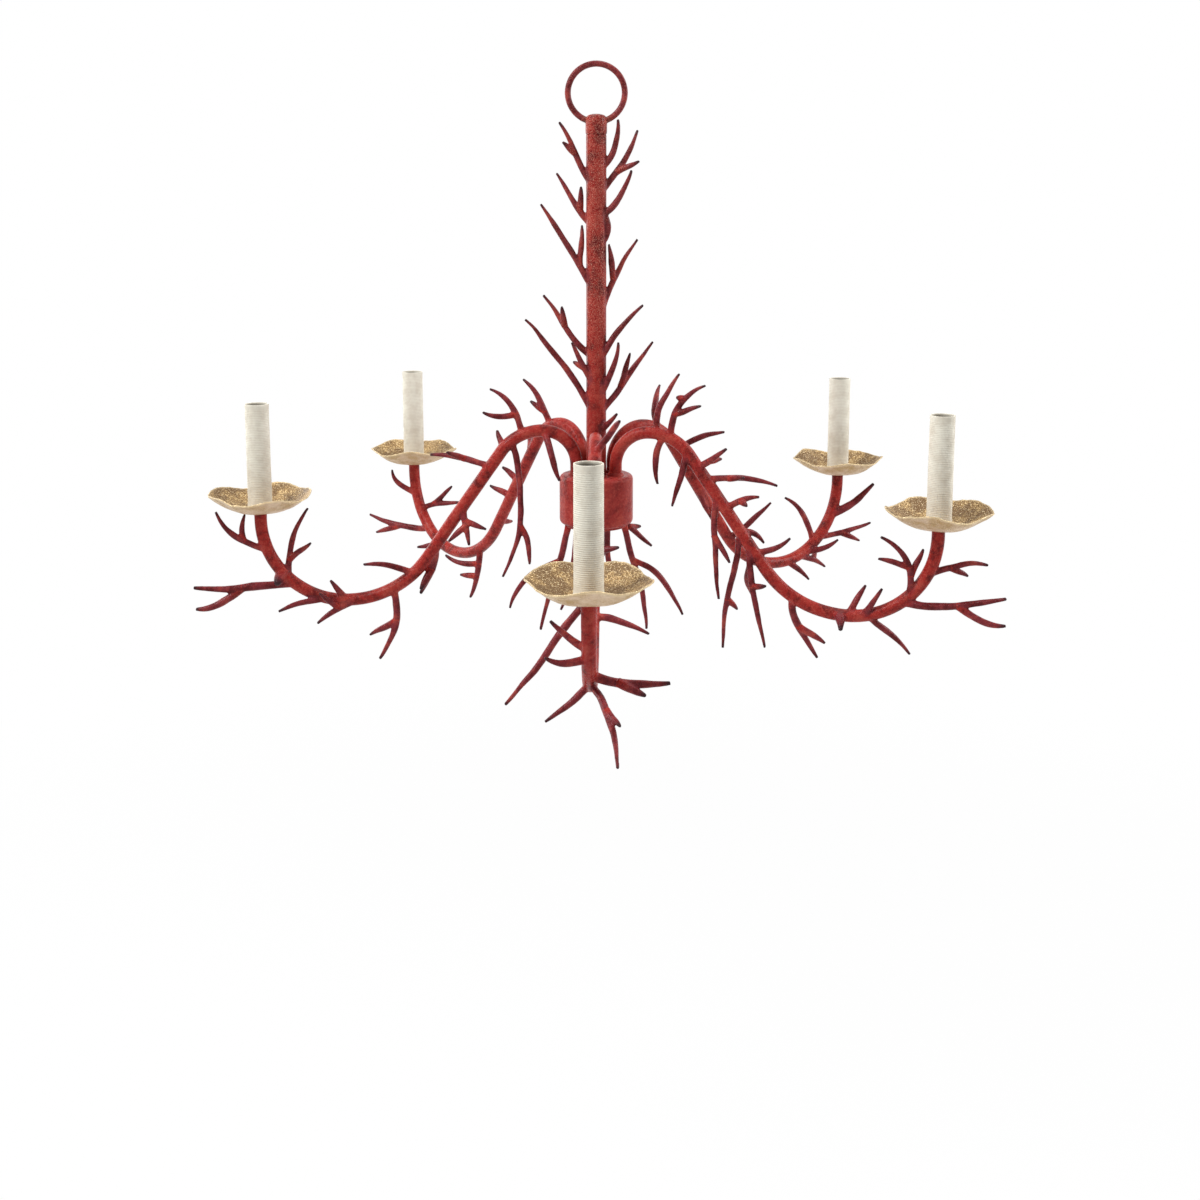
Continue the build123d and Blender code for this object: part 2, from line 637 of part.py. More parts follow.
# Candle sleeves: straight tubes with a slightly spread foot
sleeve = sleeve_of(
    [(0, sleeve_foot_radius), (sleeve_foot, sleeve_radius), (sleeve_height, sleeve_radius)],
    [(0, sleeve_bore), (sleeve_height, sleeve_bore)],
    sleeve_sides,
)
for name, place in zip(arm_headings, spots(arm_reach, slip - pan_drop)):
    with BuildPart() as candle:
        with Locations(place):
            add(sleeve)
    save(candle.part, f"{name}_sleeve")

# Lamp holders, one of each piece in line with each arm: heights are from the pan's floor
lamp_spots = spots(arm_reach, -pan_drop)
foot_top = pan_nut_height + leg_thickness
socket_top = sleeve_height - socket_inset
socket_bottom = socket_top - socket_height

nipple = sleeve_of(
    [(-nipple_below, nipple_radius), (nipple_above, nipple_radius)],
    [(-nipple_below, nipple_bore), (nipple_above, nipple_bore)],
    nipple_sides,
)
with BuildPart() as pan_nipples:
    with Locations(*lamp_spots):
        add(nipple)
save(pan_nipples.part, "pan_nipples")

with BuildPart() as nut:
    with BuildSketch():
        RegularPolygon(radius=pan_nut_radius, side_count=6)
        RegularPolygon(radius=nipple_radius + clearance, side_count=nipple_sides, mode=Mode.SUBTRACT)
    extrude(amount=pan_nut_height)
with BuildPart() as pan_nuts:
    with Locations(*lamp_spots):
        add(nut.part)
save(pan_nuts.part, "pan_nuts")

# A leg is a strip bent twice: a foot on the nut, an upright, and a tab under the lamp holder
with BuildPart() as leg:
    with BuildSketch(Plane.XZ):
        with BuildLine():
            Polyline(
                (-leg_offset, pan_nut_height),
                (leg_offset + leg_thickness, pan_nut_height),
                (leg_offset + leg_thickness, socket_bottom),
                (-leg_offset, socket_bottom),
                (-leg_offset, socket_bottom - leg_thickness),
                (leg_offset, socket_bottom - leg_thickness),
                (leg_offset, foot_top),
                (-leg_offset, foot_top),
                close=True,
            )
        make_face()
    extrude(amount=leg_width / 2, both=True)
    with BuildSketch(Plane.XY.offset(pan_nut_height)):
        RegularPolygon(radius=nipple_radius + clearance, side_count=nipple_sides)
    extrude(amount=leg_thickness, mode=Mode.SUBTRACT)
with BuildPart() as socket_legs:
    with Locations(*lamp_spots):
        add(leg.part)
save(socket_legs.part, "socket_legs")

socket = sleeve_of(
    [(socket_bottom, socket_radius), (socket_top, socket_radius)],
    [(socket_bottom + socket_floor, socket_bore), (socket_top, socket_bore)],
    socket_sides,
)
with BuildPart() as socket_bodies:
    with Locations(*lamp_spots):
        add(socket)
save(socket_bodies.part, "socket_bodies")

shell_top = socket_top - shell_inset
shell = sleeve_of(
    [(shell_top - shell_height, shell_radius), (shell_top, shell_radius)],
    [(shell_top - shell_height, shell_bore), (shell_top, shell_bore)],
    socket_sides,
)
with BuildPart() as screw_shells:
    with Locations(*lamp_spots):
        add(shell)
save(screw_shells.part, "screw_shells")

with BuildPart() as contact:
    with Locations((0, 0, socket_bottom + socket_floor)):
        Box(*contact_size, align=(Align.CENTER, Align.CENTER, Align.MIN))
with BuildPart() as centre_contacts:
    with Locations(*lamp_spots):
        add(contact.part)
save(centre_contacts.part, "centre_contacts")
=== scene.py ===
"""A hanging chandelier of red coral branches with five candle lamps, dressed for a studio picture.

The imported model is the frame. The pieces that show are rebuilt here with round, knobbly limbs, hammered
gilt pans and finely ribbed candle sleeves, each in the place of the node that it stands for.
All lengths are in millimetres until a mesh is made, and in metres from there on.
"""

import logging
import math
from dataclasses import dataclass, field
from enum import Enum

import bmesh
import bpy
import numpy as np
from mathutils import Matrix, Vector
from mathutils.kdtree import KDTree

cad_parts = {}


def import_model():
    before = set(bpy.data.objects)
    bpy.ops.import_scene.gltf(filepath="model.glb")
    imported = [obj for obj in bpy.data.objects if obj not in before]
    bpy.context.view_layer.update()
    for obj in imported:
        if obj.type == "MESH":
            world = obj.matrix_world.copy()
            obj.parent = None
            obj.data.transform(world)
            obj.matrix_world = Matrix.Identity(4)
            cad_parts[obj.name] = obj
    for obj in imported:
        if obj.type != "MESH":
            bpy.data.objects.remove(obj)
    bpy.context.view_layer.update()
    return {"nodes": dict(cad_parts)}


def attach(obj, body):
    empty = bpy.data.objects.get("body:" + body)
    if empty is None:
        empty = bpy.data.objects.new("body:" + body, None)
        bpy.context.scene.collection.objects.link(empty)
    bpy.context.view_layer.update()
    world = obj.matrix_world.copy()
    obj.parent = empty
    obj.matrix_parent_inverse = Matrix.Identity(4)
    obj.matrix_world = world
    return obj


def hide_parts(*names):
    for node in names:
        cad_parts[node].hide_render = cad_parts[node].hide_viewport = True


LOG = logging.getLogger("chandelier")
MM = 0.001
SHARP_EDGE = math.radians(38)
SAME_POINT = 1e-7
PLAIN_WHITE = (1, 1, 1, 1)
PAN_TURN = 47.0
Colour = tuple[float, float, float]
Triple = tuple[float, float, float]
Pair = tuple[float, float]


class Facing(Enum):
    """Where each arm points, in degrees from the front towards the right."""

    FRONT = -1
    RIGHT_FRONT = 75
    RIGHT_REAR = 125
    LEFT_REAR = -140
    LEFT_FRONT = -88

    @property
    def label(self) -> str:
        """The arm's name, as the model's nodes have it."""
        return self.name.lower()

    def place(self) -> Matrix:
        """Turns a piece drawn with +X outward to this arm's heading."""
        return Matrix.Rotation(math.radians(self.value - 90), 4, "Z")


class Slot(Enum):
    """The record's material slots."""

    CORAL = "coral_red"
    GILT = "gilt"
    IVORY = "ivory"
    STEEL = "plain_steel"
    HOLDER = "lamp_holder"
    BRASS = "shell_brass"


# Shader and geometry expressions


class Wire:
    """One output socket. Arithmetic on it adds Math nodes and gives the next one."""

    def __init__(self, sheet: "Sheet", socket: bpy.types.NodeSocket) -> None:
        """Wraps a socket of a node on a sheet.

        Args:
            sheet: The tree that the node is on.
            socket: The output socket.
        """
        self.sheet = sheet
        self.socket = socket

    def _math(self, operation: str, *values: "Wire | float") -> "Wire":
        """Adds one Math node.

        Args:
            operation: Blender's name of the operation.
            values: Its inputs in order.

        Returns:
            The node's result.
        """
        inputs = dict(enumerate(values))
        return self.sheet.add("ShaderNodeMath", {"operation": operation}, inputs)

    def __add__(self, other: "Wire | float") -> "Wire":
        """Sum."""
        return self._math("ADD", self, other)

    def __sub__(self, other: "Wire | float") -> "Wire":
        """Difference."""
        return self._math("SUBTRACT", self, other)

    def __rsub__(self, other: float) -> "Wire":
        """Difference from a number."""
        return self._math("SUBTRACT", other, self)

    def __mul__(self, other: "Wire | float") -> "Wire":
        """Product."""
        return self._math("MULTIPLY", self, other)

    def __truediv__(self, other: "Wire | float") -> "Wire":
        """Quotient."""
        return self._math("DIVIDE", self, other)

    __radd__ = __add__
    __rmul__ = __mul__

    def sine(self) -> "Wire":
        """Sine of an angle in radians."""
        return self._math("SINE", self)

    def angle(self, other: "Wire") -> "Wire":
        """The angle, in radians, whose tangent is this over the other."""
        return self._math("ARCTAN2", self, other)

    def ramp(self, low: float, high: float, start: float = 0.0, end: float = 1.0) -> "Wire":
        """Goes smoothly from start to end while this value goes from low to high.

        Args:
            low: Where the rise begins.
            high: Where it ends.
            start: The result at and below low.
            end: The result at and above high.

        Returns:
            The smoothed value.
        """
        settings = {"interpolation_type": "SMOOTHSTEP"}
        inputs = {"Value": self, "From Min": low, "From Max": high, "To Min": start, "To Max": end}
        return self.sheet.add("ShaderNodeMapRange", settings, inputs)


Value = Wire | float | int | bool | tuple | str | bpy.types.ID


class Sheet:
    """A node tree that pieces of shader or geometry are drawn on."""

    def __init__(self, tree: bpy.types.NodeTree) -> None:
        """Starts on an empty tree.

        Args:
            tree: The tree to draw on. What it held is removed.
        """
        tree.nodes.clear()
        self.tree = tree

    def add(self, kind: str, settings: dict | None = None, inputs: dict | None = None,
            out: str | int = 0) -> Wire:
        """Adds any node: its settings first, then the values and links of its sockets.

        Args:
            kind: The node's type.
            settings: Properties of the node, such as an operation.
            inputs: Values or wires by socket name or number.
            out: The output that is wanted.

        Returns:
            That output.
        """
        node = self.tree.nodes.new(kind)
        for name, value in (settings or {}).items():
            setattr(node, name, value)
        for name, value in (inputs or {}).items():
            socket = self._socket(node.inputs, name)
            if isinstance(value, Wire):
                self.tree.links.new(value.socket, socket)
            else:
                socket.default_value = value
        if not len(node.outputs):
            return Wire(self, None)
        return Wire(self, self._socket(node.outputs, out))

    @staticmethod
    def _socket(sockets: bpy.types.bpy_prop_collection, key: str | int) -> bpy.types.NodeSocket:
        """Finds a socket that is switched on.

        Args:
            sockets: A node's inputs or outputs.
            key: The socket's number, or its name.

        Returns:
            The socket.
        """
        if isinstance(key, int):
            return sockets[key]
        return next(s for s in sockets if s.enabled and key in (s.name, s.identifier))

    def grain(self, where: Wire, scale: float, detail: float = 2.0, rough: float = 0.5) -> Wire:
        """Noise with lumps of a given size.

        Args:
            where: The coordinates.
            scale: Lumps per metre.
            detail: How many finer layers it has.
            rough: How strong those are.

        Returns:
            A value from 0 to 1.
        """
        inputs = {"Vector": where, "Scale": scale, "Detail": detail, "Roughness": rough}
        return self.add("ShaderNodeTexNoise", {}, inputs)

    def cells(self, where: Wire, scale: float, feature: str = "F1") -> Wire:
        """Distance in a cell pattern, for beaten hollows and crackle."""
        inputs = {"Vector": where, "Scale": scale}
        return self.add("ShaderNodeTexVoronoi", {"feature": feature}, inputs, "Distance")

    def lumps(self, where: Wire, seed: Wire, scale: Wire | float, detail: float, out: str = "Fac") -> Wire:
        """Noise that a seed shifts.

        Args:
            where: The coordinates.
            seed: The seed.
            scale: Lumps per metre.
            detail: How many finer layers it has.
            out: The output that is wanted.

        Returns:
            A value or a colour, each from 0 to 1.
        """
        inputs = {"Vector": where, "W": seed, "Scale": scale, "Detail": detail}
        return self.add("ShaderNodeTexNoise", {"noise_dimensions": "4D"}, inputs, out)

    def vector(self, operation: str, inputs: dict, out: str = "Vector") -> Wire:
        """Adds one Vector Math node."""
        return self.add("ShaderNodeVectorMath", {"operation": operation}, inputs, out)

    def axis(self, where: Wire, name: str) -> Wire:
        """One of a vector's three numbers."""
        return self.add("ShaderNodeSeparateXYZ", {}, {"Vector": where}, name)

    def joined_up(self, **axes: Wire | float) -> Wire:
        """A vector of three numbers, of which any left out is 0."""
        return self.add("ShaderNodeCombineXYZ", {}, axes)

    def tint(self, share: Wire | float, low: Wire | Colour, high: Wire | Colour) -> Wire:
        """Mixes two colours.

        Args:
            share: How much of the second, from 0 to 1.
            low: The first colour.
            high: The second colour.

        Returns:
            The mixed colour.
        """
        inputs = {"Factor_Float": share}
        for key, value in (("A_Color", low), ("B_Color", high)):
            inputs[key] = value if isinstance(value, Wire) else (*value, 1.0)
        return self.add("ShaderNodeMix", {"data_type": "RGBA"}, inputs, "Result_Color")

    def seen(self) -> Wire:
        """Tells what the camera sees from what only gives light.

        Returns:
            1 where the camera looks straight on, or through glass or a reflection, and else 0.
        """
        kinds = ("Is Camera Ray", "Is Glossy Ray", "Is Transmission Ray")
        straight, mirrored, through = (self.add("ShaderNodeLightPath", out=kind) for kind in kinds)
        return self.add("ShaderNodeClamp", {}, {"Value": straight + mirrored + through})

    def mark(self, name: str) -> Wire:
        """A number that the mesh carries at each point."""
        return self.add("ShaderNodeAttribute", {"attribute_name": name}, out="Fac")


class ShaderSheet(Sheet):
    """The node tree of one material, with its object coordinates."""

    def __init__(self, material: bpy.types.Material) -> None:
        """Starts a material's tree.

        Args:
            material: The material, which gets an empty tree.
        """
        material.use_nodes = True
        super().__init__(material.node_tree)
        self.where = self.add("ShaderNodeTexCoord", out="Object")

    def dent(self, height: Wire, depth: float, strength: float = 1.0, under: Wire | None = None) -> Wire:
        """Bends the surface's normal by a height.

        Args:
            height: The height, from 0 to 1.
            depth: Its size in metres.
            strength: How much of it is felt.
            under: A coarser bump to lie on.

        Returns:
            The normal.
        """
        inputs = {"Height": height, "Distance": depth, "Strength": strength}
        if under is not None:
            inputs["Normal"] = under
        return self.add("ShaderNodeBump", {}, inputs)

    def surface(self, **inputs: Value) -> None:
        """Ends the tree in one main shader.

        Args:
            inputs: The shader's sockets, with underscores for the spaces in their names.
        """
        named = {name.replace("_", " "): value for name, value in inputs.items()}
        shader = self.add("ShaderNodeBsdfPrincipled", {}, named)
        self.add("ShaderNodeOutputMaterial", {}, {"Surface": shader})


# Finishes


@dataclass(frozen=True)
class CoralLacquer:
    """Mottled coral red lacquer over forged limbs: crimson and brick patches, wine twigs, dark tips."""

    crackle: float = 0.35
    body: Colour = (0.355, 0.021, 0.017)
    deep: Colour = (0.090, 0.005, 0.006)
    brick: Colour = (0.50, 0.085, 0.060)
    wine: Colour = (0.175, 0.025, 0.034)
    # Light specks: the lacquer's own speckle, brightened into painted highlights.
    fleck: Colour = (0.66, 0.30, 0.22)
    tip: Colour = (0.030, 0.014, 0.018)
    weld: Colour = (0.20, 0.05, 0.03)

    def material(self, name: str) -> bpy.types.Material:
        """Builds the lacquer.

        Args:
            name: The material's name.

        Returns:
            The material.
        """
        made = bpy.data.materials.new(name)
        sheet = ShaderSheet(made)
        patches = sheet.grain(sheet.where, 60, 3, 0.6)
        mottle = sheet.grain(sheet.where, 330, 3, 0.65)
        specks = sheet.grain(sheet.where, 1300, 2, 0.6)
        seams = sheet.cells(sheet.where, 420, "DISTANCE_TO_EDGE")
        twig = sheet.mark("wild")
        level = sheet.axis(sheet.where, "Z")
        speckle = level.ramp(-0.30, -0.20, 0.3, 1.0) * (1 - twig * 0.7) * self.crackle
        colour = sheet.tint(twig.ramp(0.1, 0.9, 0.0, 0.9), self.body, self.wine)
        colour = sheet.tint(patches.ramp(0.52, 0.36) * 0.75, colour, self.deep)
        colour = sheet.tint(patches.ramp(0.52, 0.68) * 0.5, colour, self.brick)
        colour = sheet.tint(mottle.ramp(0.48, 0.72) * (0.6 - twig * 0.3), colour, self.brick)
        colour = sheet.tint(mottle.ramp(0.44, 0.30) * 0.45, colour, self.deep)
        colour = sheet.tint(seams.ramp(0.12, 0.02) * speckle * patches.ramp(0.3, 0.6), colour, self.brick)
        # Light specks, partly the real speckle and partly painted highlight.
        colour = sheet.tint(specks.ramp(0.53, 0.66) * speckle, colour, self.fleck)
        colour = sheet.tint(specks.ramp(0.45, 0.32) * speckle, colour, self.deep)
        worn = (sheet.mark("tip") + (mottle - 0.5) * 0.5).ramp(0.35, 1.0)
        colour = sheet.tint(worn * 0.9, colour, self.tip)
        colour = sheet.tint(sheet.mark("weld").ramp(0.2, 0.9) * mottle.ramp(0.3, 0.55), colour, self.weld)
        lumps = sheet.dent(patches + mottle * 0.5, 0.0016, 0.5)
        pits = sheet.dent(mottle * 0.6 + specks * speckle * 0.6, 0.0006, 0.4, lumps)
        sheet.surface(Base_Color=colour, Roughness=mottle.ramp(0.3, 0.7, 0.24, 0.40), Normal=pits,
                      Specular_IOR_Level=0.13)
        return made


@dataclass(frozen=True)
class Gilding:
    """Gilt over hammered sheet: bright flecks and brown hollows inside, a paler rubbed outside, and a painted
    highlight along the rim.
    """

    gold: Colour = (0.53, 0.345, 0.140)
    # Bright flecks of the gilding, also used for the painted highlight along the rim.
    fleck: Colour = (0.95, 0.77, 0.47)
    hollow: Colour = (0.165, 0.090, 0.032)
    rubbed: Colour = (0.80, 0.62, 0.44)

    def material(self, name: str) -> bpy.types.Material:
        """Builds the gilding.

        Args:
            name: The material's name.

        Returns:
            The material.
        """
        made = bpy.data.materials.new(name)
        sheet = ShaderSheet(made)
        inside = sheet.mark("inside")
        patches = sheet.grain(sheet.where, 60, 3, 0.6)
        hammer = sheet.cells(sheet.where, 330)
        flecks = sheet.grain(sheet.where, 900, 3, 0.75)
        colour = sheet.tint(patches.ramp(0.40, 0.58), self.hollow, self.gold)
        colour = sheet.tint(flecks.ramp(0.43, 0.56), self.hollow, colour)
        colour = sheet.tint(flecks.ramp(0.54, 0.68), colour, self.fleck)
        outer = sheet.tint(patches.ramp(0.3, 0.7), self.gold, self.rubbed)
        outer = sheet.tint(flecks.ramp(0.5, 0.75) * 0.6, outer, self.fleck)
        colour = sheet.tint(inside, outer, colour)
        # Painted highlight along the rim's lip.
        colour = sheet.tint(sheet.mark("rim") * 0.5, colour, self.fleck)
        beaten = sheet.dent(hammer, 0.0016, 0.55)
        rough = sheet.dent(flecks, 0.0008, 0.7, beaten)
        sheet.surface(Base_Color=colour, Metallic=0.5, Normal=rough,
                      Roughness=flecks.ramp(0.4, 0.7, 0.56, 0.30))
        return made


@dataclass(frozen=True)
class IvoryEnamel:
    """Matt ivory on the candle sleeves, with painted shade in the rib grooves and inside the bore."""

    body: Colour = (0.93, 0.90, 0.78)
    # Darker warm mottling, and also the painted shade in the rib grooves.
    groove: Colour = (0.60, 0.52, 0.41)
    # Painted shade inside the bore.
    inside: Colour = (0.16, 0.14, 0.11)

    def material(self, name: str) -> bpy.types.Material:
        """Builds the enamel.

        Args:
            name: The material's name.

        Returns:
            The material.
        """
        made = bpy.data.materials.new(name)
        sheet = ShaderSheet(made)
        cloud = sheet.grain(sheet.where, 90, 3, 0.6)
        fine = sheet.grain(sheet.where, 1400, 2, 0.6)
        colour = sheet.tint(cloud.ramp(0.35, 0.7) * 0.45, self.body, self.groove)
        # Painted shade: darker where the ribs dip in.
        colour = sheet.tint(sheet.mark("groove") * 0.38, colour, self.groove)
        # Painted shade: the bore is made dark.
        colour = sheet.tint(sheet.mark("inside"), colour, self.inside)
        sheet.surface(Base_Color=colour, Roughness=cloud.ramp(0.3, 0.7, 0.55, 0.72),
                      Normal=sheet.dent(fine, 0.0003, 0.35), Specular_IOR_Level=0.35)
        return made


@dataclass(frozen=True)
class BareMetal:
    """Plain metal of the inner pieces, with drawing marks, and thread grooves where it has them."""

    colour: Colour
    shade: Colour
    roughness: float = 0.36
    thread: float = 0.0
    metallic: float = 1.0

    def material(self, name: str) -> bpy.types.Material:
        """Builds the metal.

        Args:
            name: The material's name.

        Returns:
            The material.
        """
        made = bpy.data.materials.new(name)
        sheet = ShaderSheet(made)
        cloud = sheet.grain(sheet.where, 160, 3, 0.6)
        marks = sheet.grain(sheet.where, 1700, 2, 0.6)
        colour = sheet.tint(cloud.ramp(0.35, 0.7) * 0.6, self.colour, self.shade)
        height = marks * 0.25
        if self.thread:
            turns = sheet.axis(sheet.where, "Z") * (2 * math.pi / self.thread)
            height = height + turns.sine() * 0.5
        sheet.surface(Base_Color=colour, Metallic=self.metallic, Normal=sheet.dent(height, 0.0005, 0.6),
                      Roughness=cloud.ramp(0.3, 0.7, self.roughness, self.roughness + 0.16))
        return made


@dataclass
class Paintbox:
    """Every finish of the chandelier, mixed once."""

    mixed: dict[str, bpy.types.Material] = field(default_factory=dict)

    def mix(self) -> None:
        """Builds the materials."""
        zinc, zinc_shade = (0.56, 0.56, 0.55), (0.40, 0.39, 0.36)
        moulding, moulding_shade = (0.022, 0.022, 0.023), (0.035, 0.034, 0.033)
        recipes = {
            "coral_branch": CoralLacquer(),
            "coral_column": CoralLacquer(
                crackle=0.85, body=(0.31, 0.015, 0.012), brick=(0.46, 0.065, 0.045)),
            "coral_hub": CoralLacquer(
                crackle=0.3, body=(0.34, 0.030, 0.026), deep=(0.20, 0.014, 0.014)),
            "gilt_pan": Gilding(),
            "ivory_sleeve": IvoryEnamel(),
            "zinc": BareMetal(zinc, zinc_shade),
            "zinc_thread": BareMetal(zinc, zinc_shade, thread=0.0009),
            "brass": BareMetal((0.70, 0.50, 0.20), (0.50, 0.33, 0.12), 0.3, 0.0028),
            "contact": BareMetal((0.72, 0.52, 0.24), (0.52, 0.35, 0.14), 0.3),
            "holder": BareMetal(moulding, moulding_shade, 0.30, metallic=0.0),
        }
        self.mixed = {name: recipe.material(name) for name, recipe in recipes.items()}

    def __getitem__(self, name: str) -> bpy.types.Material:
        """The finish of that name."""
        return self.mixed[name]


# Geometry trees


class GeometrySheet(Sheet):
    """A geometry tree with named inputs, run once on a piece and then baked into its mesh."""

    def __init__(self, name: str, sizes: dict[str, float | int],
                 extra: dict[str, str] | None = None) -> None:
        """Starts a tree whose first input is the geometry.

        Args:
            name: The tree's name.
            sizes: Its named inputs and their usual values. Whole numbers make whole-number inputs.
            extra: Types of further named inputs that have no usual value.
        """
        tree = bpy.data.node_groups.new(name, "GeometryNodeTree")
        super().__init__(tree)
        tree.interface.new_socket("Geometry", in_out="INPUT", socket_type="NodeSocketGeometry")
        for label, size in sizes.items():
            kind = "NodeSocketInt" if isinstance(size, int) else "NodeSocketFloat"
            tree.interface.new_socket(label, in_out="INPUT", socket_type=kind).default_value = size
        for label, kind in {**(extra or {}), "Finish": "NodeSocketMaterial"}.items():
            tree.interface.new_socket(label, in_out="INPUT", socket_type=kind)
        tree.interface.new_socket("Geometry", in_out="OUTPUT", socket_type="NodeSocketGeometry")
        self.entry = tree.nodes.new("NodeGroupInput")

    def input(self, label: str) -> Wire:
        """The named input, as a wire."""
        return Wire(self, self.entry.outputs[label])

    def named(self, label: str) -> Wire:
        """A number that the geometry carries at each point."""
        kind = "GeometryNodeInputNamedAttribute"
        return self.add(kind, {"data_type": "FLOAT"}, {"Name": label}, "Attribute")

    def close(self, geometry: Wire) -> None:
        """Ends the tree in Realize Instances and Set Material.

        Args:
            geometry: What was made.
        """
        smooth = self.add("GeometryNodeSetShadeSmooth", {}, {"Geometry": geometry})
        plain = self.add("GeometryNodeRealizeInstances", {}, {"Geometry": smooth})
        finish = self.input("Finish")
        dressed = self.add("GeometryNodeSetMaterial", {}, {"Geometry": plain, "Material": finish})
        self.add("NodeGroupOutput", {}, {"Geometry": dressed})

    def bake(self, piece: bpy.types.Object, finish: bpy.types.Material,
             **sizes: Value) -> bpy.types.Object:
        """Runs the tree on a piece and keeps the result as a plain mesh.

        Args:
            piece: The object that holds the start geometry. It is removed.
            finish: The material.
            sizes: Input values, with underscores for the spaces in their names.

        Returns:
            A new object of the same name.
        """
        step = piece.modifiers.new("made", "NODES")
        step.node_group = self.tree
        values = {label.replace("_", " "): value for label, value in sizes.items()}
        values["Finish"] = finish
        for item in self.tree.interface.items_tree:
            if item.in_out == "INPUT" and item.name in values:
                step[item.identifier] = values[item.name]
        return plain_mesh(piece)


def plain_mesh(piece: bpy.types.Object) -> bpy.types.Object:
    """Turns a piece with modifiers into a plain mesh object of the same name.

    Args:
        piece: The object, which is removed.

    Returns:
        The new object.
    """
    bpy.context.view_layer.update()
    seen = piece.evaluated_get(bpy.context.evaluated_depsgraph_get())
    mesh = bpy.data.meshes.new_from_object(seen)
    name = piece.name
    bpy.data.objects.remove(piece)
    mesh.name = name
    return shown(name, mesh)


def shown(name: str, mesh: bpy.types.Mesh) -> bpy.types.Object:
    """Puts a mesh in the scene at the origin.

    Args:
        name: The object's name.
        mesh: The mesh.

    Returns:
        The new object.
    """
    piece = bpy.data.objects.new(name, mesh)
    bpy.context.scene.collection.objects.link(piece)
    return piece


def limb_sweep() -> GeometrySheet:
    """A tree that turns chains of points into round limbs with knobs and a slightly wandering line.

    Returns:
        The tree. Each point carries its thickness, in metres, as "thick", and its freedom as "wild".
    """
    sizes = {"Sides": 14, "Spacing": 0.0016, "Knobs": 0.22, "Knob scale": 60.0, "Wander": 0.0012,
             "Wander scale": 26.0, "Seed": 3.0}
    sheet = GeometrySheet("limb sweep", sizes)
    line = sheet.add("GeometryNodeMeshToCurve", {}, {"Mesh": sheet.input("Geometry")})
    fine = sheet.add("GeometryNodeResampleCurve", {"mode": "LENGTH"},
                     {"Curve": line, "Length": sheet.input("Spacing")})
    place = sheet.add("GeometryNodeInputPosition")
    wild = sheet.named("wild")
    drift = sheet.lumps(place, sheet.input("Seed"), sheet.input("Wander scale"), 1.0, "Color")
    centred = sheet.vector("SUBTRACT", {0: drift, 1: (0.5, 0.5, 0.5)})
    shift = sheet.vector("SCALE", {0: centred, "Scale": sheet.input("Wander") * wild * 4.0})
    bent = sheet.add("GeometryNodeSetPosition", {}, {"Geometry": fine, "Offset": shift})
    knobs = sheet.lumps(place, sheet.input("Seed") + 7.0, sheet.input("Knob scale"), 2.0)
    size = sheet.named("thick") * ((knobs - 0.5) * sheet.input("Knobs") * wild * 2.0 + 1.0)
    ring = sheet.add("GeometryNodeCurvePrimitiveCircle", {"mode": "RADIUS"},
                     {"Resolution": sheet.input("Sides"), "Radius": 1.0}, "Curve")
    sheet.close(sheet.add("GeometryNodeCurveToMesh", {},
                          {"Curve": bent, "Profile Curve": ring, "Scale": size, "Fill Caps": True}))
    return sheet


def fine_ribs() -> GeometrySheet:
    """A tree that presses level ribs into an upright turned piece at the origin.

    Returns:
        The tree. Each point's share of the ribs is its "ribbed", and it gets its place in a rib as "groove",
        which the ivory finish turns into painted shade in the grooves.
    """
    sheet = GeometrySheet("fine ribs", {"Pitch": 0.0016, "Depth": 0.00015})
    place = sheet.add("GeometryNodeInputPosition")
    across = sheet.vector("MULTIPLY", {0: place, 1: (1.0, 1.0, 0.0)})
    outward = sheet.vector("NORMALIZE", {0: across})
    turns = sheet.axis(place, "Z") / sheet.input("Pitch")
    wave = (turns * (2 * math.pi)).sine() * sheet.named("ribbed")
    shift = sheet.vector("SCALE", {0: outward, "Scale": wave * sheet.input("Depth")})
    ribbed = sheet.add("GeometryNodeSetPosition", {}, {"Geometry": sheet.input("Geometry"), "Offset": shift})
    sheet.close(sheet.add("GeometryNodeStoreNamedAttribute", {"data_type": "FLOAT", "domain": "POINT"},
                          {"Geometry": ribbed, "Name": "groove", "Value": 0.5 - wave * 0.5}))
    return sheet


def wavy_rim() -> GeometrySheet:
    """A tree that bends a round dish at the origin into lobes.

    Returns:
        The tree. Each point's share of the wave is its "wave", and its angle round the dish its "turn".
    """
    sizes = {"Lobes": 5.0, "Wave": 0.0019, "Sway": 0.5, "Wobble": 0.03, "Crinkle": 0.0011,
             "Crinkle scale": 90.0, "Seed": 1.0}
    sheet = GeometrySheet("wavy rim", sizes)
    turn = sheet.named("turn")
    share = sheet.named("wave")
    lobes = sheet.input("Lobes")
    slow = (turn * (lobes - 3.0) + 1.0).sine() * sheet.input("Sway")
    swell = (turn * lobes + math.pi / 2).sine() + slow
    place = sheet.add("GeometryNodeInputPosition")
    crinkle = sheet.lumps(place, sheet.input("Seed"), sheet.input("Crinkle scale"), 2.0) - 0.5
    rise = swell * share * sheet.input("Wave") + crinkle * share * sheet.input("Crinkle") * 4.0
    reach = 1.0 - (turn * (lobes - 1.0)).sine() * share * sheet.input("Wobble")
    scaled = sheet.vector("MULTIPLY", {0: place, 1: sheet.joined_up(X=reach, Y=reach, Z=1.0)})
    bent = sheet.vector("ADD", {0: scaled, 1: sheet.joined_up(Z=rise)})
    start = sheet.input("Geometry")
    sheet.close(sheet.add("GeometryNodeSetPosition", {}, {"Geometry": start, "Position": bent}))
    return sheet


